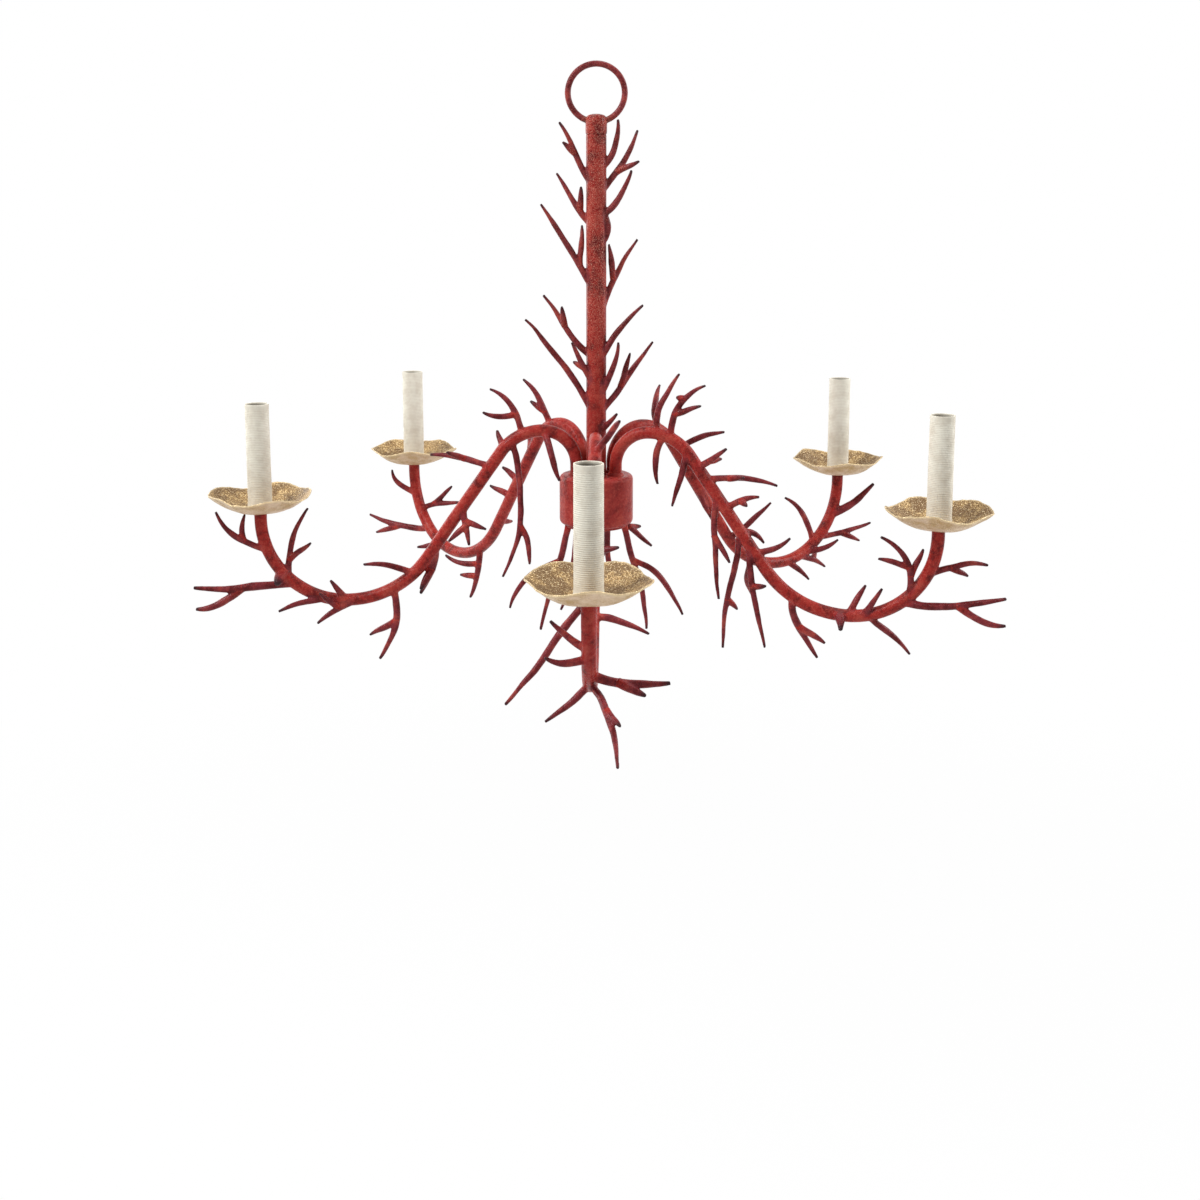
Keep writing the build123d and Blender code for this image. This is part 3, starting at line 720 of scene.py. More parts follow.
def repeat_outward() -> GeometrySheet:
    """A tree that repeats a part at each point of a mesh, turned so that its +X faces outward.

    Returns:
        The tree. Its start geometry is the points.
    """
    sheet = GeometrySheet("repeat outward", {}, {"Part": "NodeSocketObject"})
    part = sheet.add("GeometryNodeObjectInfo", {"transform_space": "ORIGINAL"},
                     {"Object": sheet.input("Part")}, "Geometry")
    place = sheet.add("GeometryNodeInputPosition")
    turn = sheet.axis(place, "Y").angle(sheet.axis(place, "X"))
    points = sheet.add("GeometryNodeMeshToPoints", {}, {"Mesh": sheet.input("Geometry")})
    sheet.close(sheet.add("GeometryNodeInstanceOnPoints", {},
                          {"Points": points, "Instance": part, "Rotation": sheet.joined_up(Z=turn)}))
    return sheet


@dataclass
class Trees:
    """The geometry trees, each built once."""

    limbs: GeometrySheet = field(default_factory=limb_sweep)
    ribs: GeometrySheet = field(default_factory=fine_ribs)
    rim: GeometrySheet = field(default_factory=wavy_rim)
    repeat: GeometrySheet = field(default_factory=repeat_outward)


# Mesh helpers


def softened(corners: list[Triple], closed: bool = False, steps: int = 4) -> list[Pair]:
    """Rounds the corners of an outline.

    Args:
        corners: (radius, height, how far the rounding reaches along each side).
        closed: Whether the last corner joins the first.
        steps: Points in each rounding, less one.

    Returns:
        (radius, height) points.
    """
    points = []
    for number, (radius, height, reach) in enumerate(corners):
        here = Vector((radius, height))
        if reach == 0 or (not closed and number in (0, len(corners) - 1)):
            points.append((radius, height))
            continue
        before, after = corners[number - 1], corners[(number + 1) % len(corners)]
        start = here + (Vector(before[:2]) - here).normalized() * reach
        end = here + (Vector(after[:2]) - here).normalized() * reach
        for step in range(steps + 1):
            share = step / steps
            bend = start * (1 - share) ** 2 + here * (2 * share * (1 - share)) + end * share**2
            points.append((bend.x, bend.y))
    return points


def divided(points: list[Pair], spacing: float, closed: bool = False, bore: float = 0.0) -> list[Pair]:
    """Adds points to an outline so that none are further apart than the spacing.

    Args:
        points: (radius, height) points.
        spacing: The furthest that two may be apart.
        closed: Whether the last point joins the first.
        bore: Radius up to which the points may be ten times as far apart.

    Returns:
        The outline with its new points.
    """
    finer = []
    pairs = zip(points, points[1:] + points[:1]) if closed else zip(points, points[1:])
    for start, end in pairs:
        step_size = spacing * 10 if max(start[0], end[0]) <= bore else spacing
        count = max(1, math.ceil(math.dist(start, end) / step_size))
        for step in range(count):
            share = step / count
            finer.append(tuple(one + (other - one) * share for one, other in zip(start, end)))
    return finer if closed else finer + [points[-1]]


def spun(name: str, outline: list[Pair], sides: int, closed: bool = False,
         marks: dict | None = None) -> bpy.types.Mesh:
    """Spins an outline round the upright axis into a closed mesh.

    Args:
        name: The mesh's name.
        outline: (radius, height) points in millimetres. An open one ends at the axis or gets flat ends.
        sides: Corners round it.
        closed: Whether the outline is a loop.
        marks: Functions of (radius, height, point number, angle), whose results the points carry, by name.

    Returns:
        The mesh, in metres, with its faces outward.
    """
    marks = marks or {}
    carried = {key: [] for key in marks}
    points = []
    faces = []
    turns = [2 * math.pi * side / sides for side in range(sides)]

    def put(radius: float, number: int, turn: float) -> None:
        """Adds one point and its marks.

        Args:
            radius: Its distance from the axis.
            number: The outline's point that it comes from.
            turn: Its angle round the axis.
        """
        height = outline[number][1]
        points.append((radius * math.cos(turn) * MM, radius * math.sin(turn) * MM, height * MM))
        for key, rule in marks.items():
            carried[key].append(rule(radius, height, number, turn))

    for number, (radius, _) in enumerate(outline):
        for turn in turns:
            put(radius, number, turn)
    rings = len(outline)
    for ring in range(rings if closed else rings - 1):
        here = ring * sides
        there = (ring + 1) % rings * sides
        for side in range(sides):
            beside = (side + 1) % sides
            faces.append((here + side, here + beside, there + beside, there + side))
    if not closed:
        for ring in (0, rings - 1):
            centre = len(points)
            put(0, ring, 0)
            here = ring * sides
            faces += [(here + side, here + (side + 1) % sides, centre) for side in range(sides)]
    return solid_mesh(name, points, faces, carried)


def strap(name: str, rows: list[tuple[Pair, Pair]], width: float) -> bpy.types.Mesh:
    """Makes a bent strap that lies in line with its arm.

    Args:
        name: The mesh's name.
        rows: The (outward, up) points of its two faces, row by row along it, in millimetres.
        width: Its width in millimetres.

    Returns:
        The mesh, in metres.
    """
    points = []
    for row in rows:
        for side in (-width / 2, width / 2):
            points += [Vector((across, side, height)) * MM for across, height in row]
    faces = []
    for first in range(0, len(points) - 4, 4):
        for one, other in ((0, 1), (1, 3), (3, 2), (2, 0)):
            faces.append((first + one, first + other, first + other + 4, first + one + 4))
    last = len(points) - 4
    faces += [(0, 2, 3, 1), (last, last + 1, last + 3, last + 2)]
    return solid_mesh(name, points, faces)


def write_marks(mesh: bpy.types.Mesh, marks: dict) -> None:
    """Stores numbers at each point of a mesh, for trees and finishes to read.

    Args:
        mesh: The mesh.
        marks: Lists of one number for each point, by name.
    """
    for key, values in marks.items():
        stored = mesh.attributes.new(key, "FLOAT", "POINT")
        stored.data.foreach_set("value", np.asarray(values, dtype=np.float32))


def solid_mesh(name: str, points: list, faces: list, marks: dict | None = None) -> bpy.types.Mesh:
    """Makes a closed mesh with its faces outward.

    Args:
        name: The mesh's name.
        points: Points in metres.
        faces: Their faces, in either direction.
        marks: Lists of one number for each point, by name.

    Returns:
        The mesh.
    """
    mesh = bpy.data.meshes.new(name)
    mesh.from_pydata([tuple(point) for point in points], [], faces)
    write_marks(mesh, marks or {})
    form = bmesh.new()
    form.from_mesh(mesh)
    bmesh.ops.remove_doubles(form, verts=form.verts, dist=SAME_POINT)
    bmesh.ops.recalc_face_normals(form, faces=form.faces)
    form.to_mesh(mesh)
    form.free()
    mesh.shade_smooth()
    mesh.set_sharp_from_angle(angle=SHARP_EDGE)
    return mesh


def painted(name: str, mesh: bpy.types.Mesh, finish: bpy.types.Material) -> bpy.types.Object:
    """Gives a mesh its finish and puts it in the scene."""
    mesh.materials.append(finish)
    return shown(name, mesh)


def joined(name: str, meshes: list[bpy.types.Mesh]) -> bpy.types.Mesh:
    """Puts several meshes in one, as separate shells.

    Args:
        name: The new mesh's name.
        meshes: The meshes, which are removed.

    Returns:
        The new mesh.
    """
    form = bmesh.new()
    for mesh in meshes:
        form.from_mesh(mesh)
        bpy.data.meshes.remove(mesh)
    whole = bpy.data.meshes.new(name)
    form.to_mesh(whole)
    form.free()
    return whole


def moved(mesh: bpy.types.Mesh, place: Matrix) -> bpy.types.Mesh:
    """Copies a mesh to another place.

    Args:
        mesh: The mesh, which stays.
        place: Where its origin goes, in metres.

    Returns:
        The copy.
    """
    copy = mesh.copy()
    copy.transform(place)
    return copy


def weld(piece: bpy.types.Object, voxel: float, relax: int, finish: bpy.types.Material,
         cutter: bpy.types.Object | None = None) -> bpy.types.Object:
    """Melts the shells of a piece into one skin, with a fillet where they meet.

    Args:
        piece: The object, which is removed.
        voxel: The skin's grain in millimetres.
        relax: Rounds of smoothing.
        finish: The material.
        cutter: An object whose shape is cut out of the skin.

    Returns:
        A new object of the same name.
    """
    melt = piece.modifiers.new("melt", "REMESH")
    melt.mode = "VOXEL"
    melt.voxel_size = voxel * MM * 1
    ease = piece.modifiers.new("ease", "SMOOTH")
    ease.factor = 0.5
    ease.iterations = relax
    if cutter:
        cut = piece.modifiers.new("cut", "BOOLEAN")
        cut.operation = "DIFFERENCE"
        cut.solver = "EXACT"
        cut.object = cutter
    skin = plain_mesh(piece)
    drop_crumbs(skin.data)
    skin.data.materials.clear()
    skin.data.materials.append(finish)
    skin.data.shade_smooth()
    return skin


def drop_crumbs(mesh: bpy.types.Mesh, fewest: int = 200) -> None:
    """Removes the small loose shells that a melt can leave.

    Args:
        mesh: The mesh.
        fewest: The points that a shell needs to stay.
    """
    ends = np.empty(2 * len(mesh.edges), dtype=np.int32)
    mesh.edges.foreach_get("vertices", ends)
    one = ends[::2]
    other = ends[1::2]
    labels = np.arange(len(mesh.vertices))
    before = None
    while before is None or (labels != before).any():
        before = labels
        low = np.minimum(labels[one], labels[other])
        labels = before.copy()
        np.minimum.at(labels, one, low)
        np.minimum.at(labels, other, low)
        labels = labels[labels]
    loose = np.flatnonzero(np.bincount(labels)[labels] < fewest)
    if len(loose):
        form = bmesh.new()
        form.from_mesh(mesh)
        form.verts.ensure_lookup_table()
        bmesh.ops.delete(form, geom=[form.verts[number] for number in loose], context="VERTS")
        form.to_mesh(mesh)
        form.free()


def carry(piece: bpy.types.Object, points: list[Vector], thick: list[float],
          marks: dict[str, list[float]], reach: float = 2.4, fade: float = 0.8) -> None:
    """Gives each point of a piece the numbers of the nearest place on its chains.

    Args:
        piece: The object.
        points: The places, in metres.
        thick: The limb's radius at each, in metres.
        marks: The places' numbers by attribute name.
        reach: How many radii away from the place its numbers have faded to nothing.
        fade: Over how many radii they fade.
    """
    tree = KDTree(len(points))
    for number, point in enumerate(points):
        tree.insert(point, number)
    tree.balance()
    found = [tree.find(vertex.co)[1:] for vertex in piece.data.vertices]
    spots = np.asarray([number for number, _ in found])
    away = np.asarray([distance for _, distance in found]) / np.asarray(thick)[spots]
    near = np.clip((reach - away) / fade, 0, 1)
    write_marks(piece.data, {name: np.asarray(values)[spots] * near for name, values in marks.items()})


def dressed(piece: bpy.types.Object, body: str, slot: Slot, *nodes: str) -> bpy.types.Object:
    """Puts a finished piece in the model.

    Args:
        piece: The object.
        body: The body that it rides on.
        slot: The slot that its finish belongs to. It is not used.
        nodes: The nodes that it stands for.

    Returns:
        The object.
    """
    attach(piece, body)
    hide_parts(*nodes)
    LOG.info("%s: %d faces on %s", piece.name, len(piece.data.polygons), body)
    return piece


# Limbs


@dataclass(frozen=True)
class Twig:
    """One coral twig: where it grows, how its tip lies from its root, how its middle bows, and its forks.

    The place is a share of the length of the arm, the column or, for a fork, its twig. Offsets are in
    millimetres: outward, sideways and up on an arm, or to the right, back and up on the column and the
    hub. The girth is a share of the usual one.
    """

    at: float
    tip: Triple
    bow: Triple = (0, 0, 0)
    forks: tuple["Twig", ...] = ()
    girth: float = 1.0


@dataclass
class Limbs:
    """Chains of points, each with a thickness, that are swept into round limbs and welded together.

    A twig thins from its root to its tip, thicker in its belly and flared over its first few
    millimetres. It sways a little to one side and back, in a direction that its root and length give.
    """

    place: Matrix = field(default_factory=lambda: Matrix.Identity(4))
    spacing: float = 2.0
    twig_radius: float = 2.75
    fork_share: float = 0.92
    tip_share: float = 0.46
    taper: float = 2.2
    belly: float = 0.2
    flare: float = 0.4
    fork_flare: float = 0.3
    flare_reach: float = 4.5
    sway: float = 0.014
    sway_axis: Triple = (0.3, 0.9, 0.2)
    lean_rates: Triple = (0.31, 0.23, 0.17)
    calm_root: float = 14.0
    dark_end: float = 11.0
    relax: int = 4
    points: list[Vector] = field(default_factory=list)
    edges: list[tuple[int, int]] = field(default_factory=list)
    thick: list[float] = field(default_factory=list)
    wild: list[float] = field(default_factory=list)
    tips: list[float] = field(default_factory=list)

    def chain(self, line: list[Vector], thick: list[float], wild: list[float], tips: list[float]) -> None:
        """Adds one chain.

        Args:
            line: Its points in millimetres, before they are placed.
            thick: Its radius at each.
            wild: How freely the sweep may knob and bend it there, from 0 to 1.
            tips: How near its tip each is, from 0 to 1.
        """
        first = len(self.points)
        self.points += [self.place @ point * MM for point in line]
        self.edges += [(first + number, first + number + 1) for number in range(len(line) - 1)]
        self.thick += [radius * MM for radius in thick]
        self.wild += wild
        self.tips += tips

    def bar(self, line: list[Vector], radius: float, wild: float = 0.0) -> None:
        """Adds a plain bar of one thickness along a line."""
        count = len(line)
        self.chain(line, [radius] * count, [wild] * count, [0.0] * count)

    def grow(self, root: Vector, twig: Twig, radius: float | None = None, forked: bool = False) -> None:
        """Adds a twig and its forks.

        Args:
            root: Where it grows from.
            twig: The twig.
            radius: Its thickness at the root, or nothing for the usual one.
            forked: Whether it grows from another twig.
        """
        radius = (radius or self.twig_radius) * twig.girth
        chord = Vector(twig.tip)
        bow = Vector(twig.bow)
        length = chord.length
        side = chord.cross(Vector(self.sway_axis)).normalized()
        other = chord.cross(side).normalized()
        lean = math.sin(root.dot(Vector(self.lean_rates)) + length)
        swing = (side * lean + other * (1 - abs(lean))) * (self.sway * length)

        def centre(share: float) -> Vector:
            """The point a share of the way along the twig."""
            bent = root + chord * share + bow * (4 * share * (1 - share))
            return bent + swing * math.sin(2 * math.pi * share)

        count = max(4, round(length / self.spacing))
        shares = [number / count for number in range(count + 1)]
        flare = self.fork_flare if forked else self.flare
        thick = [
            radius * (1 - (1 - self.tip_share) * share**self.taper + self.belly * math.sin(math.pi * share))
            * (1 + flare * math.exp(-share * length / self.flare_reach)) for share in shares
        ]
        wild = [min(1.0, share * length / self.calm_root) for share in shares]
        tips = [max(0.0, 1 - (1 - share) * length / self.dark_end) for share in shares]
        self.chain([centre(share) for share in shares], thick, wild, tips)
        for fork in twig.forks:
            self.grow(centre(fork.at), fork, radius * self.fork_share, True)

    def swept(self, name: str, trees: Trees, finish: bpy.types.Material, **sizes: Value) -> bpy.types.Object:
        """Sweeps the chains into round limbs, which overlap where they meet.

        Args:
            name: The piece's name.
            trees: The geometry trees.
            finish: The material.
            sizes: Inputs of the tree that differ from its usual values.

        Returns:
            The piece.
        """
        mesh = bpy.data.meshes.new(name)
        mesh.from_pydata([tuple(point) for point in self.points], self.edges, [])
        write_marks(mesh, {"thick": self.thick, "wild": self.wild})
        return trees.limbs.bake(shown(name, mesh), finish, **sizes)

    def welded(self, name: str, trees: Trees, finish: bpy.types.Material, voxel: float = 0.78,
               cutter: bpy.types.Object | None = None) -> bpy.types.Object:
        """Sweeps the chains and welds them into one skin.

        Args:
            name: The piece's name.
            trees: The geometry trees.
            finish: The material.
            voxel: The skin's grain in millimetres.
            cutter: An object whose shape is cut out of the skin.

        Returns:
            The piece, with the marks that its finish reads.
        """
        skin = weld(self.swept(name, trees, finish), voxel, self.relax, finish, cutter)
        carry(skin, self.points, self.thick, {"tip": self.tips, "wild": self.wild})
        return skin


# Twigs of each arm, of the column and of the hub, given one by one: mostly the model's own

COLUMN_TWIGS = (
    Twig(0.84, (-34, -5, 61), (0, 0, -2), (Twig(0.58, (-12, -7, 9)),)),
    Twig(0.73, (-37, 6, 51), (0, 0, -5), (Twig(0.4, (1, -5, 23)),)),
    Twig(0.54, (-51, -6, 83), (0, 0, 2), (Twig(0.3, (2, 7, 37)),)),
    Twig(0.345, (-50, 8, 60), (0, 0, -6), (Twig(0.6, (-3, -8, 19)),)),
    Twig(0.245, (-23, -10, 49), (0, 0, 0), (Twig(0.5, (-11, 4, 6)),)),
    Twig(0.165, (-67, 4, 94), (0, 0, 8)),
    Twig(0.895, (19, -4, 47), (8, 0, -3)),
    Twig(0.82, (38, 5, 61), (3, 0, -3), (Twig(0.42, (21, -8, 10)),)),
    Twig(0.765, (32, -9, 42), (4, 0, -5)),
    Twig(0.80, (0, -3, -43), (11, 0, 0)),
    Twig(0.415, (38, 6, 90), (-6, 0, 0), (Twig(0.58, (-4, -8, 34)),)),
    Twig(0.315, (43, -8, 61), (-3, 0, 3)),
    Twig(0.21, (21, -15, 61), (3, 0, 0)),
    Twig(0.17, (54, 6, 72), (0, 0, 0), (Twig(0.42, (9, -10, 33)),)),
    Twig(0.115, (19, -14, 24)),
    Twig(0.66, (-4, 34, 38), (0, 5, 0)),
    Twig(0.47, (5, 40, 44), (0, 5, -3), (Twig(0.5, (3, 14, 14)),)),
    Twig(0.28, (-3, 38, 50), (0, 6, 0)),
    Twig(0.13, (4, 36, 46), (0, 6, 0)),
)

HUB_TWIGS = (
    ((-0.87, -0.27), Twig(0, (-27, 6, -106), (0, 0, 0), (Twig(0.34, (-48, -10, -44), (-7, 0, 7)),))),
    ((0.87, -0.235), Twig(0, (22, 6, -106), (3, 0, 0), (Twig(0.34, (47, -8, -52), (5, 0, 7)),))),
    ((-0.6, 0.27), Twig(0, (-17, 10, -92), (4, 0, 0))),
    ((0.4, 0.47), Twig(0, (6, 12, -88), (-3, 0, 0), (Twig(0.5, (12, 4, -34)),))),
    ((0.735, 0.135), Twig(0, (32, 4, -25), (0, 0, 2), (Twig(0.3, (10, 12, -2)),))),
    ((0.42, 0.735), Twig(0, (-6, 34, -50), (0, 8, 0))),
)

FRONT_TWIGS = (
    Twig(0.215, (20, 22, 34), (-4, 4, 6)),
    Twig(0.33, (33, -8, 9), (0, 0, 4)),
    Twig(0.42, (12, 22, 8)),
    Twig(0.50, (24, -74, -90), (0, -3, -4), girth=1.1),
    Twig(0.545, (12, 48, -11), (0, 0, 3)),
    Twig(0.785, (14, -34, -26), (0, 4, 2)),
    Twig(0.80, (92, 22, -31), (0, 4, 5), (Twig(0.42, (24, 11, -4)),)),
    Twig(0.85, (4, 61, -5), (0, 0, -4), (Twig(0.35, (10, 21, -7)),), girth=1.2),
    Twig(0.895, (8, -33, 3), (0, 0, -4)),
    Twig(0.915, (-8, -29, 19), (0, 0, -3)),
)

RIGHT_FRONT_TWIGS = (
    Twig(0.165, (19, 10, 56), (-6, 0, 2)),
    Twig(0.195, (34, -10, 52), (-8, 0, 7), (Twig(0.33, (27, -8, 9)), Twig(0.62, (-9, 3, 1)))),
    Twig(0.275, (29, -12, 21), (0, 0, -2), (Twig(0.45, (9, 12, 0)),)),
    Twig(0.305, (65, 14, -6), (0, 0, 4), (Twig(0.32, (17, -12, 3)),)),
    Twig(0.18, (-4, -6, -46), (-5, 0, 0)),
    Twig(0.235, (-11, -9, -52), (2, 0, 0)),
    Twig(0.345, (5, -11, -96), (-3, 0, 0), (Twig(0.38, (16, -5, -24)),)),
    Twig(0.375, (32, 8, 11), (0, 0, 2), (Twig(0.45, (8, -12, -2)),)),
    Twig(0.435, (19, 14, -12), (0, 0, 5)),
    Twig(0.43, (-16, 10, -117), (-2, 0, 0), (Twig(0.58, (9, 8, -12)),)),
    Twig(0.46, (18, -9, -96), (-2, 0, 0), (Twig(0.42, (14, -8, 4)),)),
    Twig(0.485, (31, 10, 15), (0, 0, -3)),
    Twig(0.60, (23, 9, -61), (-6, 0, 0), (Twig(0.48, (26, -8, -13)),), girth=1.15),
    Twig(0.70, (3, -22, -8), (0, 0, 3), girth=1.45),
    Twig(0.715, (15, 10, 28)),
    Twig(0.74, (20, -9, 29), (0, 0, -2)),
    Twig(0.755, (38, 10, -38), (0, 0, 3)),
    Twig(0.83, (91, -12, 13), (0, 0, -6), (Twig(0.54, (41, -8, -12), (0, 0, -5)),), girth=1.2),
    Twig(0.845, (-25, -14, 58), (11, 0, 5), (Twig(0.42, (-28, -8, 8)), Twig(0.3, (10, 10, 23)))),
    Twig(0.905, (53, 12, 8), (0, 0, 4), (Twig(0.38, (15, 8, -10)),)),
)

RIGHT_REAR_TWIGS = (
    Twig(0.20, (18, 22, 40), (-5, 0, 5)),
    Twig(0.27, (40, -27, 18), (0, 0, 3)),
    Twig(0.37, (12, -8, -34)),
    Twig(0.44, (20, 26, 10), (0, 0, 3)),
    Twig(0.53, (34, -28, 38), (0, 0, -3)),
    Twig(0.62, (18, 20, -46), (-5, 0, 0), (Twig(0.5, (18, 10, -14)),)),
    Twig(0.73, (22, -12, -22), (0, 0, 2)),
    Twig(0.765, (36, -6, -17), (0, 0, 3), (Twig(0.5, (18, 10, 4)),)),
    Twig(0.785, (34, -17, 11), (0, 0, -3)),
    Twig(0.82, (-24, 20, 49), (6, 0, 5)),
    Twig(0.84, (60, -19, 11), (0, 0, -3), (Twig(0.45, (16, -12, -9)),)),
    Twig(0.90, (40, -24, 34), (0, 0, -4), girth=1.35),
)

LEFT_REAR_TWIGS = (
    Twig(0.19, (26, 13, 44), (-3, 0, 4), (Twig(0.24, (14, 8, 9)),)),
    Twig(0.30, (24, -20, 22), (0, 0, 3)),
    Twig(0.37, (16, 9, 12)),
    Twig(0.42, (20, 12, 9)),
    Twig(0.50, (6, -22, -4)),
    Twig(0.61, (10, 7, -55), (-5, 0, 0), (Twig(0.3, (35, 19, 5), (0, 0, -4)), Twig(0.55, (18, 10, 0))),
         girth=1.1),
    Twig(0.70, (8, -20, -4)),
    Twig(0.77, (22, 19, -6)),
    Twig(0.83, (77, 32, 7), (0, 0, -5), (Twig(0.5, (26, 14, -11)),), girth=1.15),
    Twig(0.885, (-45, -22, 12), (0, 0, 3), (Twig(0.3, (-26, -9, 23)),)),
    Twig(0.925, (16, 22, 27), (6, 3, -3)),
)

LEFT_FRONT_TWIGS = (
    Twig(0.145, (-14, 24, -44), (0, 3, 0), girth=1.1),
    Twig(0.19, (31, -9, 42), (-6, 0, 5), (Twig(0.35, (31, 10, 4), (0, 0, -3)),)),
    Twig(0.215, (10, 14, -129), (-13, 0, 0), (Twig(0.62, (-10, 8, -36), (-3, 0, 0)),)),
    Twig(0.24, (6, -11, 17)),
    Twig(0.285, (58, -15, 9), (0, 0, 3), (Twig(0.42, (17, 10, 9)),)),
    Twig(0.385, (-6, 12, -36), (0, 0, 0), (Twig(0.38, (-20, 8, -6)), Twig(0.5, (17, 5, -14)))),
    Twig(0.49, (14, -9, -48), (-3, 0, 0), (Twig(0.45, (10, 10, -18)),), girth=1.3),
    Twig(0.56, (46, 16, 13), (0, 0, 3)),
    Twig(0.615, (13, 8, -68), (-9, 0, 0), (Twig(0.45, (27, -9, -17)),), girth=1.12),
    Twig(0.69, (38, 12, -20), (0, 0, 2), (Twig(0.48, (16, 10, 19)),)),
    Twig(0.715, (13, 9, 22)),
    Twig(0.755, (43, 15, -8), (0, 0, 2)),
    Twig(0.83, (93, 12, -1), (0, 0, -3), (Twig(0.53, (41, 9, -17), (0, 0, -6)),), girth=1.3),
    Twig(0.845, (-18, -14, 64), (7, 0, -3), (Twig(0.3, (-23, 8, 19)),)),
    Twig(0.862, (4, 13, -8), girth=1.75),
    Twig(0.92, (46, 10, 39), (5, 0, -7), (Twig(0.36, (0, -8, 25), (2, 0, 0)),)),
)


# The chandelier's sub-assemblies


@dataclass
class Frame:
    """Sizes that several sub-assemblies share, in millimetres."""

    pan_drop: float = 410.0
    arm_reach: float = 318.0
    pan_wall: float = 1.5
    hub_lift: float = 33.0
    hub_height: float = 47.0
    hub_radius: float = 34.93
    hub_round: float = 5.0
    cover_thickness: float = 2.5
    root_radius: float = 18.93
    arm_radius: float = 6.0
    seam: float = -60.4
    fixture: str = "fixture"

    @property
    def hub_top(self) -> float:
        """Level of the hub's upper face."""
        return self.hub_lift - self.pan_drop

    @property
    def hub_bottom(self) -> float:
        """Level of the hub's lower edge."""
        return self.hub_top - self.hub_height

    @property
    def hub_end_radius(self) -> float:
        """Radius of the hub's flat faces."""
        return self.hub_radius - self.hub_round


@dataclass
class HangingRing:
    """The round wire ring and the domed cap that it is welded to."""

    frame: Frame
    wire: float = 2.85
    mean_radius: float = 26.0
    cap_radius: float = 9.9
    cap_top: float = -41.9
    open_angle: float = 8.8
    steps: int = 180
    unevenness: float = 0.06
    bead: float = 3.7
    bead_reach: float = 4.2
    grain: float = 0.45

    def build(self, trees: Trees, paints: Paintbox) -> None:
        """Builds the ring and cap as one welded piece.

        Args:
            trees: The geometry trees.
            paints: The finishes.
        """
        centre = Vector((0, 0, self.wire - self.mean_radius))
        line = []
        for step in range(self.steps + 1):
            turn = math.radians(-90 + self.open_angle + (360 - 2 * self.open_angle) * step / self.steps)
            line.append(centre + Vector((math.cos(turn), 0, math.sin(turn))) * self.mean_radius)
        wire = Limbs()
        wire.bar(line, self.wire, self.unevenness)
        drop = math.sqrt(self.mean_radius**2 - self.cap_radius**2)
        seats = [centre + Vector((side * (self.cap_radius + 0.6), 0, 0.2 - drop)) for side in (-1, 1)]
        for seat in seats:
            wire.bar([seat + Vector((0, 0, lift)) for lift in (-1.5, 0, 1.5)], self.bead)
        finish = paints["coral_column"]
        swept = wire.swept("ring_and_cap", trees, finish, Sides=24, Spacing=0.001)
        top, radius, seam = self.cap_top, self.cap_radius, self.frame.seam
        outline = softened([
            (0.01, top, 0), (3.5, top, 2), (radius * 0.82, top - 1.4, 1.5), (radius, top - 4.6, 1.5),
            (radius, seam + 1.5, 0.6), (radius - 0.5, seam, 0),
        ])
        swept.data = joined("ring_and_cap", [swept.data.copy(), spun("cap", outline, 64)])
        piece = weld(swept, self.grain, 7, finish)
        spots = np.asarray([vertex.co for vertex in piece.data.vertices]) / MM
        away = np.min([np.linalg.norm(spots - np.asarray(seat), axis=1) for seat in seats], axis=0)
        wire_side = (spots[:, 2] > top - 0.4) | (np.abs(spots[:, 0]) > radius + 0.4)
        write_marks(piece.data, {"weld": np.clip(1.5 - away / self.bead_reach, 0, 1), "wild": wire_side})
        dressed(piece, self.frame.fixture, Slot.CORAL, "hanging_ring", "ring_cap")


@dataclass
class Column:
    """The speckled centre tube with the twigs welded to it and the cord hole at its back."""

    frame: Frame
    radius: float = 9.5
    hole_radius: float = 3.5
    hole_drop: float = 12.0
    hole_depth: float = 6.0
    steps: int = 158
    unevenness: float = 0.03

    def build(self, trees: Trees, paints: Paintbox) -> None:
        """Builds the column and its twigs as one welded piece.

        Args:
            trees: The geometry trees.
            paints: The finishes.
        """
        low, high = self.frame.hub_top - 1.5, self.frame.seam + 0.2
        line = [Vector((0, 0, low + (high - low) * step / self.steps)) for step in range(self.steps + 1)]
        limbs = Limbs()
        limbs.bar(line, self.radius, self.unevenness)
        length = self.frame.seam - self.frame.hub_top
        for twig in COLUMN_TWIGS:
            limbs.grow(Vector((0, 0, self.frame.hub_top + twig.at * length)), twig)
        depth = self.hole_depth
        drill = spun("drill", [(self.hole_radius, -depth), (self.hole_radius, depth)], 40)
        spot = Matrix.Translation((0, self.radius * MM, (self.frame.seam - self.hole_drop) * MM))
        drill.transform(spot @ Matrix.Rotation(math.pi / 2, 4, "X"))
        cutter = shown("drill", drill)
        piece = limbs.welded("coral_column", trees, paints["coral_column"], cutter=cutter)
        bpy.data.objects.remove(cutter)
        dressed(piece, self.frame.fixture, Slot.CORAL, "column_tube", "column_twigs")


